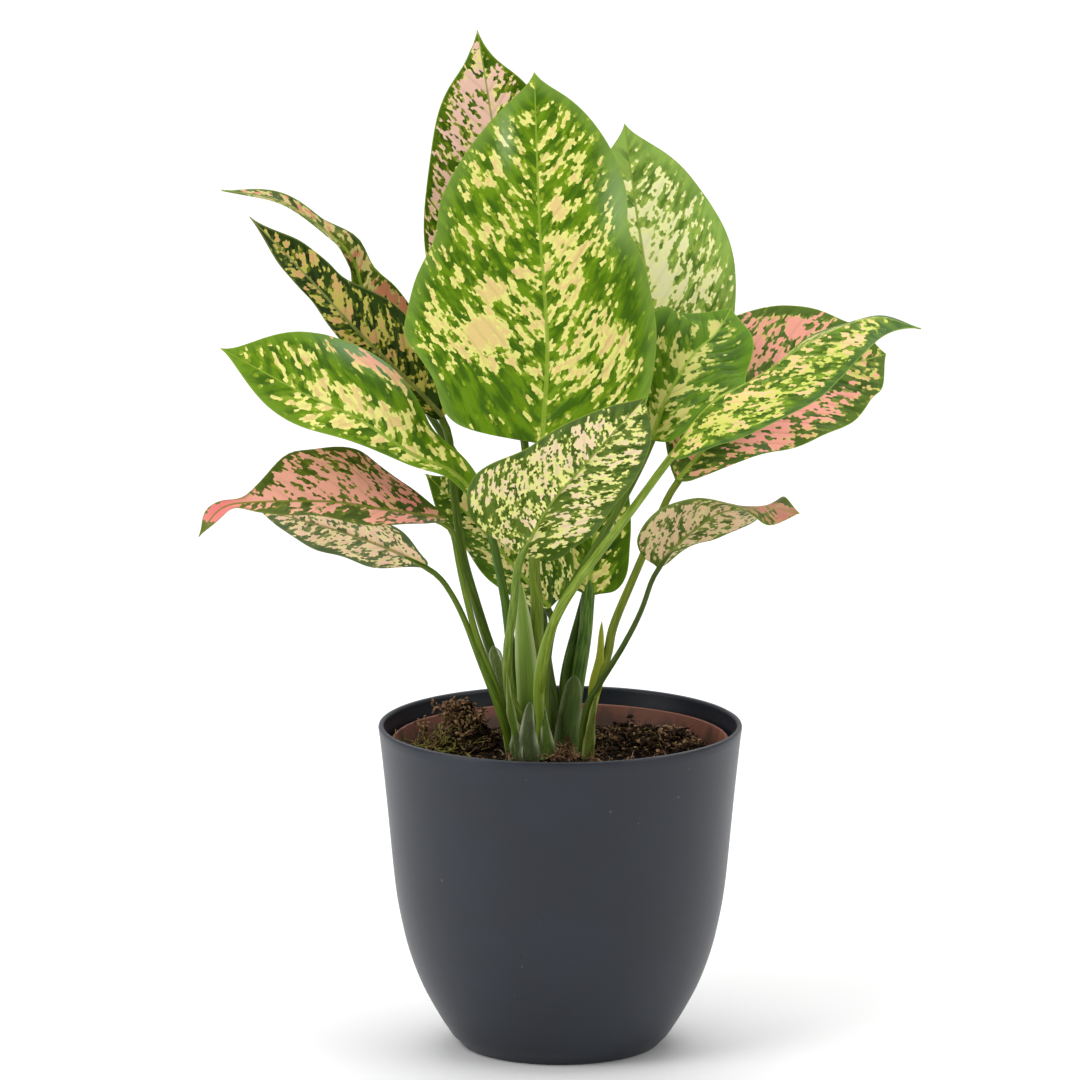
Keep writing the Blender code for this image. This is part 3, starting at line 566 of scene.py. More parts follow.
# Undersides: paler and greyer, with finer netting. Three blades turn theirs to the front.
PALE_GREEN = dict(dark=(88, 110, 48), mid=(124, 142, 72), lime=(172, 182, 92),
                  cream=(222, 214, 142), blush=(224, 192, 140), fleck=0.85,
                  rib=(150, 166, 80))
UNDER_LOOKS = {
    "front_low": dict(dark=(62, 88, 14), mid=(98, 122, 42), lime=(172, 186, 78),
                      cream=(238, 238, 144), blush=(246, 220, 180), share=0.6, fleck=0.75,
                      mottle=0.5, net=0.3, margin=(84, 106, 54), band=(4.0, 0.3),
                      rib=(128, 150, 48),
                      patches=((52, 12, 26, 9, 0.1), (62, -8, 16, 6, 0.1))),
    "left_pale": dict(dark=(80, 96, 52), mid=(108, 122, 74), lime=(168, 166, 98),
                      cream=(238, 222, 160), blush=(244, 204, 172), share=0.76, fleck=0.75,
                      blushing=0.02, mottle=0.4, net=0.28, margin=(84, 106, 68),
                      band=(3.5, 0.3), rib=(150, 146, 84)),
    "right_low": dict(dark=(66, 86, 20), mid=(100, 118, 44), lime=(160, 164, 84),
                      cream=(214, 206, 138), blush=(216, 186, 144), share=0.68, fleck=0.75,
                      net=0.3, mottle=0.4, band=(2.5, 0.3), rib=(112, 132, 40)),
}

# Where an outline is drawn in more than the CAD model's stations can say: the distance
# from the base as a share of the length, the spread, and how much narrower it is there.
PINCHES = {
    "front_large": ((0.57, 0.07, 0.09), (0.3, 0.08, -0.03)),
    "back_top": ((0.91, 0.05, 0.16),),
    "right_broad": ((0.97, 0.05, -0.9),),
    "left_pink": ((0.81, 0.05, 0.5), (0.63, 0.09, -0.25), (0.0, 0.08, 0.3)),
    "left_dark": ((0.62, 0.06, 0.14), (0.45, 0.07, -0.08), (0.82, 0.06, -0.12)),
    "left_curl": ((0.5, 0.05, 0.35), (0.78, 0.12, 0.2)),
    "right_low": ((0.68, 0.14, -0.6), (0.86, 0.08, -0.5)),
    "left_pale": ((0.0, 0.12, 0.5),),
}


class Value:
    """A shader socket whose arithmetic adds Math nodes."""

    def __init__(self, finish, socket):
        self.finish = finish
        self.socket = socket

    def math(self, operation, *others):
        node = self.finish.node("ShaderNodeMath", dict(operation=operation),
                                dict(enumerate((self, *others))))
        return Value(self.finish, node.outputs[0])

    def __add__(self, other):
        return self.math("ADD", other)

    def __sub__(self, other):
        return self.math("SUBTRACT", other)

    def __rsub__(self, other):
        return self * -1 + other

    def __mul__(self, other):
        return self.math("MULTIPLY", other)

    __radd__ = __add__
    __rmul__ = __mul__

    def __truediv__(self, other):
        return self.math("DIVIDE", other)

    def __pow__(self, other):
        return self.math("POWER", other)

    def __abs__(self):
        return self.math("ABSOLUTE")

    def cosine(self):
        return self.math("COSINE")

    def exponential(self):
        return self.math("EXPONENT")

    def over(self, limit):
        return self.math("GREATER_THAN", limit)

    def rise(self, low, high):
        """0 up to low, 1 from high, and smooth between them."""
        node = self.finish.node("ShaderNodeMapRange", dict(interpolation_type="SMOOTHSTEP"),
                                {"Value": self, "From Min": low, "From Max": high})
        return Value(self.finish, node.outputs["Result"])


class Finish:
    """A material being made: its nodes and its Principled shader."""

    def __init__(self, name, roughness=0.5, **constants):
        self.material = bpy.data.materials.new(name)
        self.material.use_nodes = True
        self.tree = self.material.node_tree
        self.shader = self.tree.nodes["Principled BSDF"]
        self.shader.inputs["Roughness"].default_value = roughness
        for socket, value in constants.items():
            self.shader.inputs[socket.replace("_", " ")].default_value = value

    def node(self, kind, settings=None, values=None):
        """Adds a node: its settings first, then its sockets' values or links."""
        made = self.tree.nodes.new(kind)
        for key, value in (settings or {}).items():
            setattr(made, key, value)
        for key, value in (values or {}).items():
            self.feed(made.inputs[key], value)
        return made

    def feed(self, socket, value):
        if isinstance(value, Value):
            self.tree.links.new(value.socket, socket)
        elif isinstance(value, bpy.types.NodeSocket):
            self.tree.links.new(value, socket)
        else:
            socket.default_value = value

    def set(self, socket, value):
        self.feed(self.shader.inputs[socket], value)

    def places(self, layer):
        """The two values of one of the piece's UV maps."""
        return self.parts(self.node("ShaderNodeUVMap", dict(uv_map=layer)).outputs[0])[:2]

    def parts(self, vector):
        """The three values of a vector."""
        split = self.node("ShaderNodeSeparateXYZ", None, {0: vector})
        return [Value(self, part) for part in split.outputs]

    def solid(self):
        """Places in space, in the piece's own frame, in mm."""
        found = self.node("ShaderNodeTexCoord")
        scaled = self.node("ShaderNodeVectorMath", dict(operation="SCALE"),
                           {0: found.outputs["Object"], "Scale": 1 / MM})
        return scaled.outputs[0]

    def vector(self, x, y, z=0.0):
        return self.node("ShaderNodeCombineXYZ", None, {0: x, 1: y, 2: z}).outputs[0]

    def stretch(self, vector, by):
        return self.node("ShaderNodeVectorMath", dict(operation="MULTIPLY"),
                         {0: vector, 1: by}).outputs[0]

    def shift(self, vector, by):
        return self.node("ShaderNodeVectorMath", dict(operation="ADD"),
                         {0: vector, 1: by}).outputs[0]

    def noise(self, vector, scale=1.0, detail=2.0, roughness=0.5):
        made = self.node("ShaderNodeTexNoise", None,
                         {"Vector": vector, "Scale": scale, "Detail": detail,
                          "Roughness": roughness})
        return Value(self, made.outputs[0])

    def mix(self, share, first, second):
        """The second colour laid over the first by share."""
        made = self.node("ShaderNodeMix", dict(data_type="RGBA"), {0: share, 6: first, 7: second})
        return made.outputs[2]

    def bump(self, height, distance, strength=1.0):
        made = self.node("ShaderNodeBump", None,
                         {"Height": height, "Distance": distance, "Strength": strength})
        self.set("Normal", made.outputs[0])


def leaf_finish(name, blade, look):
    """Waxy leaf skin with ragged pale flecks that lie along the side veins."""
    finish = Finish(name, Specular_IOR_Level=0.13)
    s, v = finish.places("place")
    along, edge = finish.places("share")
    s = s * PLACE_SPAN
    v = (v - 0.5) * PLACE_SPAN
    edge = edge * EDGE_SPAN
    out = abs(v)
    vein = s - out * VEIN_LEAN - out * out * (VEIN_CURVE / blade.half_width)

    # The pattern's own axes, and an offset that sets each half of each blade apart.
    across = vein * 0.65
    run = s * 0.75 + out * 0.6
    half = v.over(0) * 17.0 + look["seed"] * 3.7

    # Small cells of leaf tissue. Each is pale or green as a whole, so edges are ragged.
    cell_width, cell_length = CELLS
    size = look["fleck"]
    cell = finish.vector(across / (cell_width * size) + half * 5.0, run / (cell_length * size))
    cells = finish.node("ShaderNodeTexVoronoi", dict(voronoi_dimensions="2D"),
                        {"Vector": cell, "Scale": 1.0, "Randomness": 1.0})
    spot_x, spot_y, _ = finish.parts(cells.outputs["Position"])

    def cloud(width, length, detail):
        """Noise with blobs of a width across the veins and a length along them, in mm."""
        return finish.noise(finish.vector(spot_x * (cell_width / width),
                                          spot_y * (cell_length / length), half), detail=detail)

    groups = cloud(*GROUPS, 1.0)
    flecks = cloud(*FLECKS, 2.0)
    specks = cloud(*SPECKS, 0.0)
    net = abs(cloud(*NETTING, 2.0) - 0.5).rise(0.06, 0.0) * look["net"]
    hue = cloud(*HUES, 1.0)

    def patch(at_s, at_v, spread_s, spread_v):
        """1 in the middle of a soft patch of the blade, falling to 0 round it."""
        away = ((s - at_s) / spread_s) ** 2 + ((v - at_v) / spread_v) ** 2
        return (away * -1).exponential()

    pale = NormalDist().inv_cdf(look["share"]) * FIELD_SPREAD
    for *place, amount in look.get("patches", ()):
        pale = patch(*place) * amount + pale
    width, less = look["band"]
    pale = edge.rise(width, 0.0) * -less + pale
    level = (groups - 0.5) * 0.5 + (flecks - 0.5) * 1.2 + (specks - 0.5) * 0.3 - net + pale
    fleck = level.rise(-0.008, 0.008)
    near = level.rise(-0.09, -0.01)
    core = (level + (hue - 0.5) * look["mottle"] + look["blushing"]).rise(0.06, 0.2)

    tissue = finish.noise(finish.vector(across * 0.3, run * 0.1, half), detail=3.0)
    fine = finish.noise(finish.vector(across * 1.4, run * 0.8, half), detail=2.0)
    green = finish.mix(tissue.rise(0.36, 0.64), tone(*look["dark"]), tone(*look["mid"]))
    # The strip along the margin turns to the margin colour: the margin's own green on most blades, a
    # painted sheen on front_large and right_top.
    green = finish.mix(edge.rise(width, 0.0) * 0.6, green, tone(*look["margin"]))
    green = finish.mix(near * 0.5, green, tone(*look["lime"]))
    cream = finish.mix(core, tone(*look["cream"]), tone(*look["blush"]))
    cream = finish.mix(fine.rise(0.58, 0.72) * 0.3, cream, tone(*look["lime"]))
    # Flushes lay other colours over soft patches: real blushes on most blades, a painted sheen on
    # front_large.
    for *place, amount, pale_flush_and_sheen, green_flush_and_sheen in look.get("flushes_and_sheens", ()):
        flush_and_sheen = patch(*place) * amount
        green = finish.mix(flush_and_sheen, green, tone(*green_flush_and_sheen))
        cream = finish.mix(flush_and_sheen, cream, tone(*pale_flush_and_sheen))
    colour = finish.mix(fleck, green, cream)

    # Midrib and side veins.
    rib_width = (1 - along) * 0.8 + 0.2
    rib = (out / rib_width).rise(1.2, 0.8)
    colour = finish.mix(rib * 0.85, colour, tone(*look["rib"]))
    wave = (vein * (2 * math.pi / VEIN_SPACING)).cosine() * 0.5 + 0.5
    groove = wave ** 8 * edge.rise(0.0, VEIN_FADE)
    colour = finish.mix(groove * 0.1, colour, tone(*look["mid"]))
    colour = finish.mix(edge.rise(0.45, 0.15) * 0.6, colour, tone(*look["rib"]))
    finish.set("Base Color", colour)

    finish.set("Roughness", fine * 0.16 + tissue * 0.14 + 0.24)
    finish.bump(fine * 0.3 - groove * 0.8 + rib * 0.5 + fleck * 0.08, 0.0005, 0.5)
    return finish.material


def stalk_finish(name, dark, light, sheen=0.35):
    """Smooth stalk with lengthwise streaks and pale dots."""
    finish = Finish(name, Specular_IOR_Level=0.25)
    along, around = finish.places("stalk")
    along = along * STALK_SPAN
    turn = around * (2 * math.pi)
    ring = finish.vector(turn.cosine(), (turn - math.pi / 2).cosine(), along * 0.035)
    streak = finish.noise(ring, scale=3.2, detail=3.0)
    dots = finish.noise(finish.stretch(ring, (1.0, 1.0, 14.0)), scale=5.0, detail=1.0)
    colour = finish.mix(streak.rise(0.3, 0.74), tone(*dark), tone(*light))
    colour = finish.mix(dots.rise(0.66, 0.72) * 0.5, colour, tone(*light))
    finish.set("Base Color", colour)
    finish.set("Roughness", streak * 0.2 + sheen)
    finish.bump(streak * 0.6 + dots * 0.2, 0.0004, 0.5)
    return finish.material


def sheath_finish(name, body, edge, opacity=1.0):
    """Papery skin of a sheath: streaked, and paler and denser towards its free margin."""
    finish = Finish(name, roughness=0.5, Specular_IOR_Level=0.3)
    along, out = finish.places("stalk")
    streaks = finish.noise(finish.vector(out * 9.0, along * STALK_SPAN * 0.05), scale=1.0,
                           detail=3.0)
    colour = finish.mix(out.rise(0.5, 1.0) * 0.85, tone(*body), tone(*edge))
    colour = finish.mix(streaks.rise(0.48, 0.72) * 0.4, colour, tone(*edge))
    finish.set("Base Color", colour)
    if opacity < 1.0:
        finish.set("Alpha", out.rise(0.6, 1.0) * (0.9 - opacity) + opacity)
    finish.bump(streaks, 0.0004, 0.5)
    return finish.material


def pot_finish(name):
    """Anthracite plastic: satin, with a very fine moulded grain and a few faint marks."""
    finish = Finish(name, Specular_IOR_Level=0.42)
    place = finish.solid()
    grain = finish.noise(place, scale=2.2, detail=3.0)
    cloud = finish.noise(place, scale=0.03, detail=2.0)
    specks = finish.noise(place, scale=0.42, detail=0.0)
    pits = finish.noise(finish.shift(place, (40.0, 0.0, 0.0)), scale=0.5, detail=0.0)
    colour = finish.mix(cloud.rise(0.35, 0.65), tone(24, 29, 39), tone(27, 33, 44))
    colour = finish.mix(specks.rise(0.865, 0.88) * 0.35, colour, tone(96, 98, 100))
    colour = finish.mix(pits.rise(0.865, 0.88) * 0.8, colour, tone(16, 17, 20))
    finish.set("Base Color", colour)
    finish.set("Roughness", grain * 0.1 + cloud * 0.08 + 0.3)
    finish.bump(grain, 0.00012, 0.35)
    return finish.material


def nursery_finish(name):
    """Matt terracotta-coloured plastic, darker near and below the peat's level."""
    finish = Finish(name)
    place = finish.solid()
    _, _, height = finish.parts(place)
    grain = finish.noise(place, scale=1.6, detail=3.0)
    stain = finish.noise(finish.stretch(place, (1.0, 1.0, 0.4)), scale=0.16, detail=4.0)
    # Darker from a few mm over the peat's level downwards, with a ragged edge.
    low_darkening = (height * -1 + (SOIL_LEVEL + 8.0) + (stain - 0.5) * 18.0).rise(1.0, 7.0)
    colour = finish.mix(grain.rise(0.3, 0.7), tone(120, 68, 48), tone(134, 78, 56))
    colour = finish.mix(low_darkening * 0.8, colour, tone(58, 38, 26))
    finish.set("Base Color", colour)
    finish.set("Roughness", grain * 0.2 + 0.42)
    finish.bump(grain + stain * 0.6, 0.0003, 0.4)
    return finish.material


def earth_finish(name, dark, light, moss, mossy):
    """Peat: dark crumbs with lighter fibres and some moss."""
    finish = Finish(name, roughness=0.95, Specular_IOR_Level=0.12)
    place = finish.solid()
    crumbs = finish.noise(place, scale=0.55, detail=5.0, roughness=0.65)
    patches = finish.noise(place, scale=0.07, detail=2.0)
    fibres = finish.noise(finish.stretch(place, (1.0, 0.25, 1.0)), scale=1.3, detail=2.0)
    colour = finish.mix(crumbs.rise(0.4, 0.68), tone(*dark), tone(*light))
    colour = finish.mix(fibres.rise(0.6, 0.7) * 0.6, colour, tone(118, 92, 60))
    colour = finish.mix(patches.rise(0.5, 0.66) * mossy, colour, tone(*moss))
    finish.set("Base Color", colour)
    finish.bump(crumbs + fibres * 0.4, 0.0015, 0.9)
    return finish.material


class Shape:
    """Points, faces and the UV places of their corners, until they become a piece."""

    def __init__(self):
        self.points = []
        self.faces = []
        self.corners = []
        self.slots = []

    def add_points(self, points):
        start = len(self.points)
        self.points.extend(tuple(map(float, point)) for point in points)
        return start

    def add_face(self, indices, corners, slot=0):
        self.faces.append(tuple(indices))
        self.corners.extend(corners)
        self.slots.append(slot)

    def add_grid(self, grid, tip=None):
        """Adds rows of points and gives the rows of their numbers. A tip is the number of
        one point that stands for the whole last row."""
        rows, columns, _ = np.shape(grid)
        kept = rows if tip is None else rows - 1
        start = self.add_points(np.reshape(grid[:kept], (-1, 3)))
        numbers = [[start + i * columns + j for j in range(columns)] for i in range(kept)]
        return numbers if tip is None else numbers + [[tip] * columns]

    def skin(self, front, back, corners, back_slot=0):
        """Closes a thin skin between two such grids. A face whose points meet in a tip
        has fewer corners, and one with no breadth is left out."""
        rows, columns = len(front), len(front[0])

        def face(cells, slot=0):
            numbers = [grid[i][j] for grid, i, j in cells]
            kept = [k for k, number in enumerate(numbers) if number not in numbers[:k]]
            if len(kept) > 2:
                places = [corners[cells[k][1]][cells[k][2]] for k in kept]
                self.add_face([numbers[k] for k in kept], places, slot)

        for i in range(rows - 1):
            for j in range(columns - 1):
                around = ((i, j), (i, j + 1), (i + 1, j + 1), (i + 1, j))
                face([(front, a, b) for a, b in around])
                face([(back, a, b) for a, b in around[::-1]], back_slot)
        rim = [((i, j), (i, j + 1)) for i in (0, rows - 1) for j in range(columns - 1)]
        rim += [((i, j), (i + 1, j)) for i in range(rows - 1) for j in (0, columns - 1)]
        for a, b in rim:
            face([(front, *a), (front, *b), (back, *b), (back, *a)])

    def piece(self, name, finishes, layers=("stalk",), sharp=50):
        """The shape as a mesh object with UV maps, closed faces turned outwards."""
        mesh = bpy.data.meshes.new(name)
        mesh.from_pydata([Vector(point) * MM for point in self.points], [], self.faces)
        flat = np.array(self.corners, dtype=float).reshape(len(self.corners), -1)
        for i, layer in enumerate(layers):
            uv = mesh.uv_layers.new(name=layer)
            uv.data.foreach_set("uv", flat[:, 2 * i:2 * i + 2].ravel())
        mesh.polygons.foreach_set("material_index", self.slots)
        work = bmesh.new()
        work.from_mesh(mesh)
        bmesh.ops.recalc_face_normals(work, faces=work.faces)
        work.to_mesh(mesh)
        work.free()
        mesh.shade_smooth()
        mesh.set_sharp_from_angle(angle=math.radians(sharp))
        for finish in finishes:
            mesh.materials.append(finish)
        made = bpy.data.objects.new(name, mesh)
        bpy.context.scene.collection.objects.link(made)
        return made


def settle(piece, slot, *nodes):
    """A finished piece rides on the plant's one body and stands for its CAD nodes."""
    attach(piece, "root")
    if nodes:
        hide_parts(*nodes)


def vein_relief(blade, along, across, edge):
    """Height of the skin: sunk at each side vein, and level at midrib and margin."""
    out = abs(across)
    vein = along * blade.length - out * VEIN_LEAN - out ** 2 * VEIN_CURVE / blade.half_width
    wave = 0.5 + 0.5 * math.cos(2 * math.pi * vein / VEIN_SPACING)
    fade = min(1.0, edge / VEIN_FADE) * min(1.0, out / VEIN_START)
    return -VEIN_RELIEF * wave ** 3 * fade


def thickness(rib_radius, along, across, edge):
    """How thick a blade is: thin at its margin, with a rounded rib under its midrib."""
    radius = rib_radius * 0.8 * (1 - along) ** 0.8 + RIB_TIP_RADIUS
    rib = 1.4 * radius * math.exp(-0.9 * (across / radius) ** 2)
    return rib + LEAF_THICKNESS * (0.4 + 0.6 * min(1.0, edge / MARGIN_WIDTH))


def leaf(name, blade, rib_radius):
    """A thin blade, upper skin and under skin, in the place of its CAD node."""
    blade.draw_in(PINCHES.get(name, ()))
    shares = np.linspace(-1, 1, 2 * LEAF_HALF_COLUMNS + 1)
    reaches = [math.copysign(abs(share) ** COLUMN_CROWDING, share) for share in shares]
    upper, normals, placed = blade.grid(LEAF_ROWS, reaches)
    lower = upper.copy()
    for i, row in enumerate(placed):
        for j, (_, *where) in enumerate(row):
            upper[i, j] += normals[i, j] * vein_relief(blade, *where)
            lower[i, j] = upper[i, j] - normals[i, j] * thickness(rib_radius, *where)
    corners = [[(along * blade.length / PLACE_SPAN, 0.5 + across / PLACE_SPAN,
                 along, edge / EDGE_SPAN) for _, along, across, edge in row] for row in placed]

    shape = Shape()
    front = shape.add_grid(upper, shape.add_points([upper[-1, 0]]))
    back = shape.add_grid(lower, shape.add_points([lower[-1, 0]]))
    shape.skin(front, back, corners, back_slot=1)
    look = {**GREEN, **LEAF_LOOKS[name]}
    look.setdefault("margin", look["mid"])
    under = {**look, **PALE_GREEN, "margin": PALE_GREEN["mid"], **UNDER_LOOKS.get(name, {})}
    finishes = [leaf_finish(f"{name} upper skin", blade, look),
                leaf_finish(f"{name} under skin", blade, under)]
    piece = shape.piece(f"leaf_{name}", finishes, ("place", "share"), sharp=60)
    settle(piece, "leaf", f"blade_{name}")


def square_to(route, first):
    """Two directions square to a route that don't twist along it, from its last point
    back. The first of them starts near the one given."""
    tangents = np.gradient(route, axis=0)
    tangents /= np.linalg.norm(tangents, axis=1)[:, None]
    normal = first
    normals = []
    for tangent in tangents[::-1]:
        normal = unit(normal - normal.dot(tangent) * tangent)
        normals.append(normal)
    normals = np.array(normals[::-1])
    return normals, np.cross(tangents, normals)


def tube(shape, route, radii, first, sides=PETIOLE_SIDES, groove=0.0):
    """A closed tube along a route, with a shallow groove on its inner side."""
    normals, binormals = square_to(route, first)
    run = np.r_[0, np.cumsum(np.linalg.norm(np.diff(route, axis=0), axis=1))]
    rings = []
    for i, point in enumerate(route):
        ring = []
        for k in range(sides):
            angle = 2 * math.pi * k / sides
            away = min(angle, 2 * math.pi - angle) / GROOVE_HALF_ANGLE
            dip = 1 - groove * math.exp(-away ** 2)
            ring.append(point + radii[i] * dip * (math.cos(angle) * normals[i]
                                                  + math.sin(angle) * binormals[i]))
        rings.append(shape.add_points(ring))
    for i in range(len(route) - 1):
        low, high = run[i] / STALK_SPAN, run[i + 1] / STALK_SPAN
        for k in range(sides):
            after = (k + 1) % sides
            shape.add_face((rings[i] + k, rings[i] + after, rings[i + 1] + after, rings[i + 1] + k),
                           ((low, k / sides), (low, (k + 1) / sides),
                            (high, (k + 1) / sides), (high, k / sides)))
    for ring, at in ((rings[0], 0.0), (rings[-1], run[-1] / STALK_SPAN)):
        shape.add_face([ring + k for k in range(sides)], [(at, k / sides) for k in range(sides)])


def petiole_route(points, blade, tip_radius, foot_radius, stem_at, stem_radius):
    """The petiole's centre line and radii, from its foot on the stem's side below the
    peat to the rib under its blade."""
    first, second = np.array(points[0], dtype=float), np.array(points[1], dtype=float)
    centre = np.array((*stem_at, first[2]))
    lean = unit((second - centre) * (1, 1, 0))
    side = centre + lean * (stem_radius - foot_radius / 2)
    first = first * (1 - FOOT_PULL) + side * FOOT_PULL
    drop = np.array((0, 0, FOOT_HEIGHT - first[2]))
    base, tangent, face, _ = blade.frame(0)
    seat = base - face * RIB_THICKNESS / 2
    end = seat - tangent * JOINT_GAP
    way = [side + drop, side + drop / 2, first, *points[1:], end - tangent * JOINT_LENGTH]
    route, _ = smooth_curve(way, PETIOLE_STEPS)
    bend = int(PETIOLE_STEPS * UPPER_PART)
    for _ in range(EASING):
        route[bend:-1] = (route[bend - 1:-2] + route[bend + 1:]) / 2
    up = np.linspace(0, 1, len(route))
    foot = foot_radius * FOOT_SWELL
    radii = [*(tip_radius + (foot - tip_radius) * (1 - up) ** FOOT_TAPER), tip_radius]
    route = [*route, end]
    for ahead, share, depth in UNDER_BLADE:
        point, _, face, _ = blade.frame(ahead / blade.length)
        route.append(point - face * depth)
        radii.append(tip_radius * share)
    route = np.array(route)
    for _ in range(JOINT_EASING):
        route[bend:-3] = (route[bend - 1:-4] + route[bend + 1:-2]) / 2
    return route, np.array(radii)


def petiole(name, shoot, points, tip_radius, foot_radius, stem_at, stem_radius):
    """A petiole with a shallow groove on its inner side."""
    blade = BLADES[name]
    dark, light = STALK_LOOKS[name]
    route, radii = petiole_route(points, blade, tip_radius, foot_radius, stem_at, stem_radius)
    shape = Shape()
    tube(shape, route, radii, blade.frame(0)[2], groove=PETIOLE_GROOVE)
    piece = shape.piece(f"petiole_{name}", [stalk_finish(f"{name} stalk skin", dark, light)])
    settle(piece, "stalk", shoot)


def stem(name, at, radius):
    """The low top of a stem, mostly hidden by the petioles' feet."""
    x, y = at
    top = SOIL_LEVEL + STEM_RISE
    heights = np.arange(SOIL_LEVEL - STEM_DEPTH, top + 0.1, STEM_STEP)
    rounding = np.clip((top + STEM_STEP - heights) / STEM_ROUNDING, 0.05, 1.0)
    radii = radius * STEM_SLIMMING * np.sqrt(rounding)
    shape = Shape()
    tube(shape, np.array([(x, y, height) for height in heights]), radii,
         np.array((0.0, -1.0, 0.0)), sides=STEM_SIDES)
    finish = stalk_finish(f"{name} stem skin", (58, 66, 20), (108, 110, 50), 0.5)
    settle(shape.piece(f"stem_{name}", [finish]), "stalk", name)


def sheath(name, sheet, *look):
    """A thin sheath that wraps the front of a petiole and ends in a point."""
    reaches = np.linspace(-1, 1, FILM_COLUMNS + 1)
    points, normals, _ = sheet.grid(FILM_ROWS, reaches)
    shape = Shape()
    tip = shape.add_points([points[-1, 0]])
    front = shape.add_grid(points, tip)
    back = shape.add_grid(points - normals * FILM_THICKNESS, tip)
    shape.skin(front, back, [[(step * sheet.length / STALK_SPAN, abs(reach)) for reach in reaches]
                             for step in np.linspace(0, 1, FILM_ROWS + 1)])
    piece = shape.piece(f"sheath_{name}", [sheath_finish(f"{name} sheath skin", *look)])
    settle(piece, "stalk")


def turned(name, profile, finish, steps=POT_STEPS, sharp=35):
    """A closed profile of (radius, height) turned round +Z. A height may be a function of
    x and y."""
    shape = Shape()
    rings = []
    for radius, height in profile:
        turns = [2 * math.pi * k / steps for k in range(steps if radius else 1)]
        ring = [(radius * math.cos(turn), radius * math.sin(turn)) for turn in turns]
        start = shape.add_points([(x, y, height(x, y) if callable(height) else height)
                                  for x, y in ring])
        rings.append([start + k % len(ring) for k in range(steps)])
    for i in range(len(profile) - 1):
        for k in range(steps):
            after = (k + 1) % steps
            ring = [rings[i][k], rings[i][after], rings[i + 1][after], rings[i + 1][k]]
            around = [k / steps, (k + 1) / steps, (k + 1) / steps, k / steps]
            up = [i / len(profile)] * 2 + [(i + 1) / len(profile)] * 2
            kept = [n for n in range(4) if ring[n] not in ring[:n]]
            shape.add_face([ring[n] for n in kept], [(around[n], up[n]) for n in kept])
    return shape.piece(name, [finish], ("wrap",), sharp)


def rounded(profile, samples):
    """A smooth line through (radius, height) points."""
    line, _ = smooth_curve([(radius, 0.0, height) for radius, height in profile], samples)
    return [(point[0], point[2]) for point in line]


def cover_pot():
    """The cover pot's shell: floor, inner side, lip, outer side and foot in one profile."""
    outer = rounded([(POT_RIM_RADIUS, POT_HEIGHT - POT_LIP_HEIGHT), *POT_SIDE], POT_SIDE_STEPS)
    inner = [(radius - POT_WALL, height) for radius, height in outer if height > POT_FLOOR + 1]
    floor = [(0, POT_FLOOR), (outer[-1][0] - POT_WALL - POT_CORNER, POT_FLOOR)]
    lip = [(POT_RIM_RADIUS - POT_WALL + inset, POT_HEIGHT - drop) for inset, drop in POT_LIP]
    lip += [(POT_RIM_RADIUS - inset, POT_HEIGHT - drop) for inset, drop in POT_LIP[:0:-1]]
    pot = turned("cover_pot_shell", [*floor, *inner[::-1], *lip, *outer, *POT_FOOT],
                 pot_finish("anthracite plastic"))
    settle(pot, "cover_pot", "cover_pot")


def nursery_pot():
    """The CAD model's nursery pot stays, with its drain holes, in its own finish."""
    finish = nursery_finish("terracotta plastic")
    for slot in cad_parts["nursery_pot"].material_slots:
        slot.material = finish


def peat_height(x, y):
    """Height of the peat over its level, as in the CAD model."""
    crumbs = 0.9 * math.sin(0.31 * x + 1.7 * math.sin(0.17 * y))
    crumbs += 0.8 * math.sin(0.43 * y + 1.3 * math.sin(0.23 * x + 2.0))
    crumbs += 0.6 * math.sin(0.83 * x - 0.71 * y)
    near = math.hypot(x + 3, y - 2)
    crumbs *= min(1.0, max(0.0, (near - 16) / 14))
    for at_x, at_y, height, spread in MOUNDS:
        crumbs += height * math.exp(-((x - at_x) ** 2 + (y - at_y) ** 2) / spread ** 2)
    return crumbs


def peat_surface(x, y):
    """Height of the crumbly peat surface."""
    edge = min(1.0, max(0.0, (SOIL_RADIUS - math.hypot(x, y)) / 6))
    lumps = noise.fractal(Vector((x, y, 3.0)) * 0.16, 1.0, 2.0, 4) * 1.6
    grains = noise.noise(Vector((x, y, 9.0)) * 0.9) * 0.5
    return SOIL_LEVEL + (peat_height(x, y) + lumps + grains) * (0.25 + 0.75 * edge)


def peat():
    """The block of peat, with a crumbly top."""
    top = [(SOIL_RADIUS * i / SOIL_RINGS, peat_surface) for i in range(SOIL_RINGS + 1)]
    finish = earth_finish("damp peat", (8, 5, 3), (42, 29, 18), (60, 56, 22), 0.5)
    block = turned("peat_block", [*top, *SOIL_SIDE], finish, SOIL_STEPS, sharp=180)
    settle(block, "peat", "soil")


def fibre(shape, draw, start, heading, length, radius, bend):
    """A bent root or moss strand with four sides."""
    points = [np.array(start)]
    heading = unit(np.array(heading))
    for _ in range(FIBRE_PIECES):
        heading = unit(heading + np.array([draw.gauss(0, bend) for _ in range(3)]))
        points.append(points[-1] + heading * length / FIBRE_PIECES)
    radii = [radius * (1 - 0.6 * i / FIBRE_PIECES) * draw.uniform(0.75, 1.25)
             for i in range(FIBRE_PIECES + 1)]
    side = np.cross(points[1] - points[0], (0.3, 0.5, 0.8))
    tube(shape, np.array(points), radii, unit(side), sides=4)


def scattered(draw, spots, margin):
    """Places drawn round spots of x, y, spread and count, at least a margin inside the
    peat's edge, each with what else its spot holds."""
    for at_x, at_y, spread, count, *rest in spots:
        for _ in range(count):
            x, y = draw.gauss(at_x, spread), draw.gauss(at_y, spread)
            if math.hypot(x, y) <= SOIL_RADIUS - margin:
                yield x, y, *rest


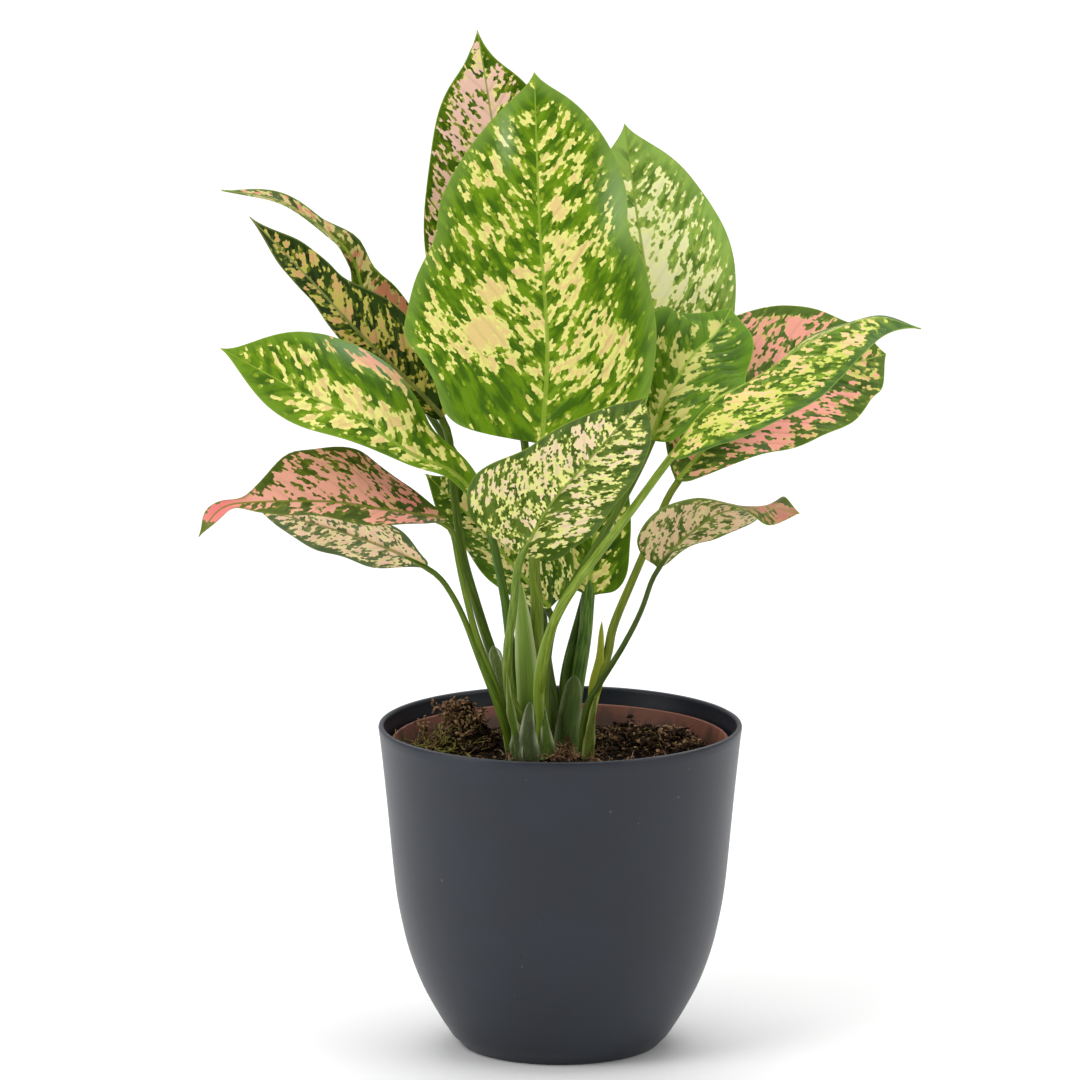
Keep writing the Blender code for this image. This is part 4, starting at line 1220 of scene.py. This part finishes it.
def fibres(name, finish, seed, spots, thick, bend=0.6):
    """Strands gathered at spots: x, y, spread, count, length, upwardness."""
    draw = random.Random(seed)
    shape = Shape()
    for x, y, length, upward in scattered(draw, spots, 4):
        turn = draw.uniform(0, 2 * math.pi)
        heading = (math.cos(turn), math.sin(turn), draw.uniform(-0.2, upward))
        lift = draw.uniform(-1.0, 0.6 + 1.5 * upward)
        fibre(shape, draw, (x, y, peat_surface(x, y) + lift), heading,
              length * draw.uniform(0.5, 1.4), draw.uniform(*thick), bend)
    settle(shape.piece(name, [finish], sharp=180), "peat")


def clump(finish):
    """The torn lump of roots and peat that stands up at the back left."""
    draw = random.Random(11)
    shape = Shape()
    spots = ((-38.5, 17, 3.2, 130, 116, 129), (-41.5, 17, 2.0, 36, 124, 131),
             (-34.5, 17, 2.2, 50, 119, 126), (-52, 8, 1.2, 14, 118, 124),
             (-46, 12, 3.0, 50, 112, 118), (-29, 20, 2.6, 36, 111, 117))
    for x, y, low, high in scattered(draw, spots, 0):
        start = (x, y, draw.uniform(low, high))
        heading = (draw.gauss(0, 0.8), draw.gauss(0, 0.8), draw.uniform(-0.3, 0.9))
        fibre(shape, draw, start, heading, draw.uniform(3.5, 8.0), draw.uniform(0.35, 0.85), 0.9)
    settle(shape.piece("root_clump", [finish], sharp=180), "peat")


def lump_shape(draw, corners, size):
    """Corners of one uneven lump."""
    stretch = np.array([draw.uniform(0.6, 1.5), draw.uniform(0.6, 1.2), draw.uniform(0.5, 0.9)])
    lean = draw.uniform(0, math.pi)
    turned_by = np.array(((math.cos(lean), math.sin(lean), 0), (-math.sin(lean), math.cos(lean), 0),
                          (0, 0, 1)))
    return [(corner * stretch * size * draw.uniform(0.75, 1.2)) @ turned_by for corner in corners]


def crumbs(name, finish, seed, sizes, spots):
    """Loose lumps of peat and bark at spots: x, y, spread, count, depth of the heap."""
    draw = random.Random(seed)
    shape = Shape()
    work = bmesh.new()
    bmesh.ops.create_icosphere(work, subdivisions=1, radius=1.0)
    corners = [np.array(corner.co) for corner in work.verts]
    faces = [[corner.index for corner in face.verts] for face in work.faces]
    work.free()
    for x, y, heap in scattered(draw, spots, 3):
        size = draw.uniform(*sizes) * draw.uniform(0.6, 1.0)
        place = (x, y, peat_surface(x, y) + size * 0.25 + draw.uniform(0, heap))
        start = shape.add_points([corner + place for corner in lump_shape(draw, corners, size)])
        for face in faces:
            shape.add_face([start + k for k in face], [(0.0, 0.0)] * 3)
    settle(shape.piece(name, [finish], sharp=30), "peat")


# Each dry scrap's x and y, which way it faces, its height and its width.
SCRAPS = ((-1, -10, 0.2, 9, 4), (3.5, -8, -0.5, 8, 3.4), (-20, -7, -0.4, 7, 3),
          (11, -8, 0.3, 7, 3), (4, 6, 1.0, 9, 4), (-10, 5, 2.2, 8, 4))


def dry_scraps():
    """Papery brown remains of old sheaths round the stems."""
    draw = random.Random(21)
    shape = Shape()
    corners = [[(i / SCRAP_ROWS, j / SCRAP_COLUMNS) for j in range(SCRAP_COLUMNS)]
               for i in range(SCRAP_ROWS)]
    for x, y, turn, height, width in SCRAPS:
        base = np.array((x, y, peat_surface(x, y) - 1.5))
        lean = np.array((draw.uniform(-0.35, 0.35), draw.uniform(-0.5, 0.1), 1.0))
        across = np.array((math.cos(turn), math.sin(turn), 0.0))
        out = np.array((math.sin(turn), -math.cos(turn), 0.0))
        points = []
        for up in np.linspace(0, 1, SCRAP_ROWS):
            half = width / 2 * (1 - 0.85 * up ** 2)
            middle = base + lean * height * up - out * 1.2 * math.sin(3 * up + x)
            points.append([middle + across * half * f - out * 1.6 * f * f
                           for f in np.linspace(-1, 1, SCRAP_COLUMNS)])
        points = np.array(points)
        shape.skin(shape.add_grid(points), shape.add_grid(points - out * FILM_THICKNESS), corners)
    finish = sheath_finish("dry sheath", (104, 74, 46), (176, 144, 104))
    settle(shape.piece("dry_sheath_scraps", [finish]), "stalk")


def foliage():
    """Each stem with its petioles and their blades, and then the sheaths."""
    for name, shoot in SHOOTS.items():
        stem(name, shoot["at"], shoot["radius"])
        for blade, (points, tip_radius, foot_radius) in shoot["petioles"].items():
            petiole(blade, name, points, tip_radius, foot_radius, shoot["at"], shoot["radius"])
            leaf(blade, BLADES[blade], tip_radius)
    for name, (sheet, *look) in SHEATHS.items():
        sheath(name, sheet, *look)


def ground():
    """Both pots, the peat, and what lies and grows on it."""
    cover_pot()
    nursery_pot()
    peat()
    brown = earth_finish("brown fibre", (96, 70, 46), (186, 150, 114), (120, 104, 60), 0.2)
    moss = earth_finish("dry moss", (86, 80, 32), (170, 158, 90), (108, 112, 44), 0.4)
    lumps = earth_finish("peat lumps", (8, 5, 3), (68, 47, 30), (50, 42, 22), 0.2)
    clump(brown)
    fibres("dead_strands", brown, 9, (
        (0, -9.5, 2.4, 70, 8, 1.8), (5, -7, 2.0, 24, 7, 1.4), (-20, -6, 1.6, 16, 6, 0.8),
        (13, -7, 1.8, 16, 6, 0.8)), (0.25, 0.6))
    fibres("peat_fibres", brown, 5, (
        (-44, 8, 6.0, 40, 8, 0.3), (-28, 20, 6.0, 30, 7, 0.3), (40, 12, 11.0, 130, 7, 0.35),
        (26, 26, 9.0, 50, 7, 0.35), (-30, -16, 16.0, 50, 8, 0.2),
        (26, -24, 16.0, 50, 8, 0.2), (0, -4, 11.0, 40, 7, 0.2)), (0.22, 0.5))
    fibres("moss_strands", moss, 6, (
        (-46, 0, 5.0, 110, 12, 0.12), (46, 8, 8.0, 60, 6, 0.3), (30, 24, 8.0, 40, 6, 0.3),
        (-40, 14, 4.0, 20, 6, 0.5)), (0.24, 0.5), 0.4)
    everywhere = ((0, 0, 32.0, 900, 0.6), (-30, 10, 14.0, 300, 1.0))
    mound = ((40, 13, 9.0, 420, 3.2), (26, 26, 8.0, 200, 2.4), (52, 4, 5.0, 120, 1.6))
    crumbs("peat_crumbs", lumps, 7, (0.6, 2.0), everywhere + mound)
    crumbs("bark_crumbs", brown, 8, (0.5, 1.6), (
        (0, 0, 32.0, 110, 0.6), (41, 14, 9.0, 150, 3.6), (-38, 17, 5.0, 70, 4.0),
        (24, 28, 8.0, 60, 2.6)))
    dry_scraps()


# The studio, in metres. Each soft light is its place, where it points, its size and its
# power.
LIGHTS = {
    "key": ((-1.3, -1.2, 1.8), (0, 0, 0.2), 1.0, 17),
    "left": ((-1.9, -0.9, 0.6), (0, 0, 0.2), 1.0, 8),
    "fill": ((1.8, -0.9, 1.0), (0, 0, 0.2), 1.2, 9.5),
    "top": ((0.1, 0.3, 2.2), (0.1, 0.3, 0), 2.0, 30),
    "back": ((0.0, 2.6, 2.0), (0.0, 2.6, 0), 2.4, 30),
}
SURROUNDINGS_STRENGTH = 0.45
FLOOR_REACH = 8.0
CAMERA_PLACE = (-0.0078, -3.9, 0.983)
CAMERA_TILT = 78.618
CAMERA_LENS = 346.0
CAMERA_SENSOR = 36.0


def studio():
    """A pale floor, soft lights and the camera at the photo's angle."""
    floor_mesh = bpy.data.meshes.new("floor")
    corners = [(x * FLOOR_REACH, y * FLOOR_REACH, 0) for x, y in ((-1, -1), (1, -1), (1, 1), (-1, 1))]
    floor_mesh.from_pydata(corners, [], [(0, 1, 2, 3)])
    floor = bpy.data.objects.new("floor", floor_mesh)
    bpy.context.scene.collection.objects.link(floor)
    pale = Finish("pale floor", roughness=0.9)
    pale.set("Base Color", (0.95, 0.95, 0.95, 1.0))
    floor_mesh.materials.append(pale.material)

    world = bpy.data.worlds.new("soft surroundings")
    world.use_nodes = True
    background = world.node_tree.nodes["Background"]
    background.inputs["Color"].default_value = (1, 1, 1, 1)
    background.inputs["Strength"].default_value = SURROUNDINGS_STRENGTH
    bpy.context.scene.world = world
    bpy.context.scene.view_settings.view_transform = "Standard"

    for name, (place, target, size, power) in LIGHTS.items():
        light = bpy.data.lights.new(name, "AREA")
        light.size = size
        light.energy = power
        lamp = bpy.data.objects.new(name, light)
        lamp.location = place
        aim = Vector(target) - Vector(place)
        lamp.rotation_euler = aim.to_track_quat("-Z", "Y").to_euler()
        bpy.context.scene.collection.objects.link(lamp)

    camera_data = bpy.data.cameras.new("camera")
    camera_data.sensor_width = CAMERA_SENSOR
    camera_data.lens = CAMERA_LENS
    camera = bpy.data.objects.new("camera", camera_data)
    camera.location = CAMERA_PLACE
    camera.rotation_euler = (math.radians(CAMERA_TILT), 0, 0)
    bpy.context.scene.collection.objects.link(camera)
    bpy.context.scene.camera = camera


foliage()
ground()
studio()
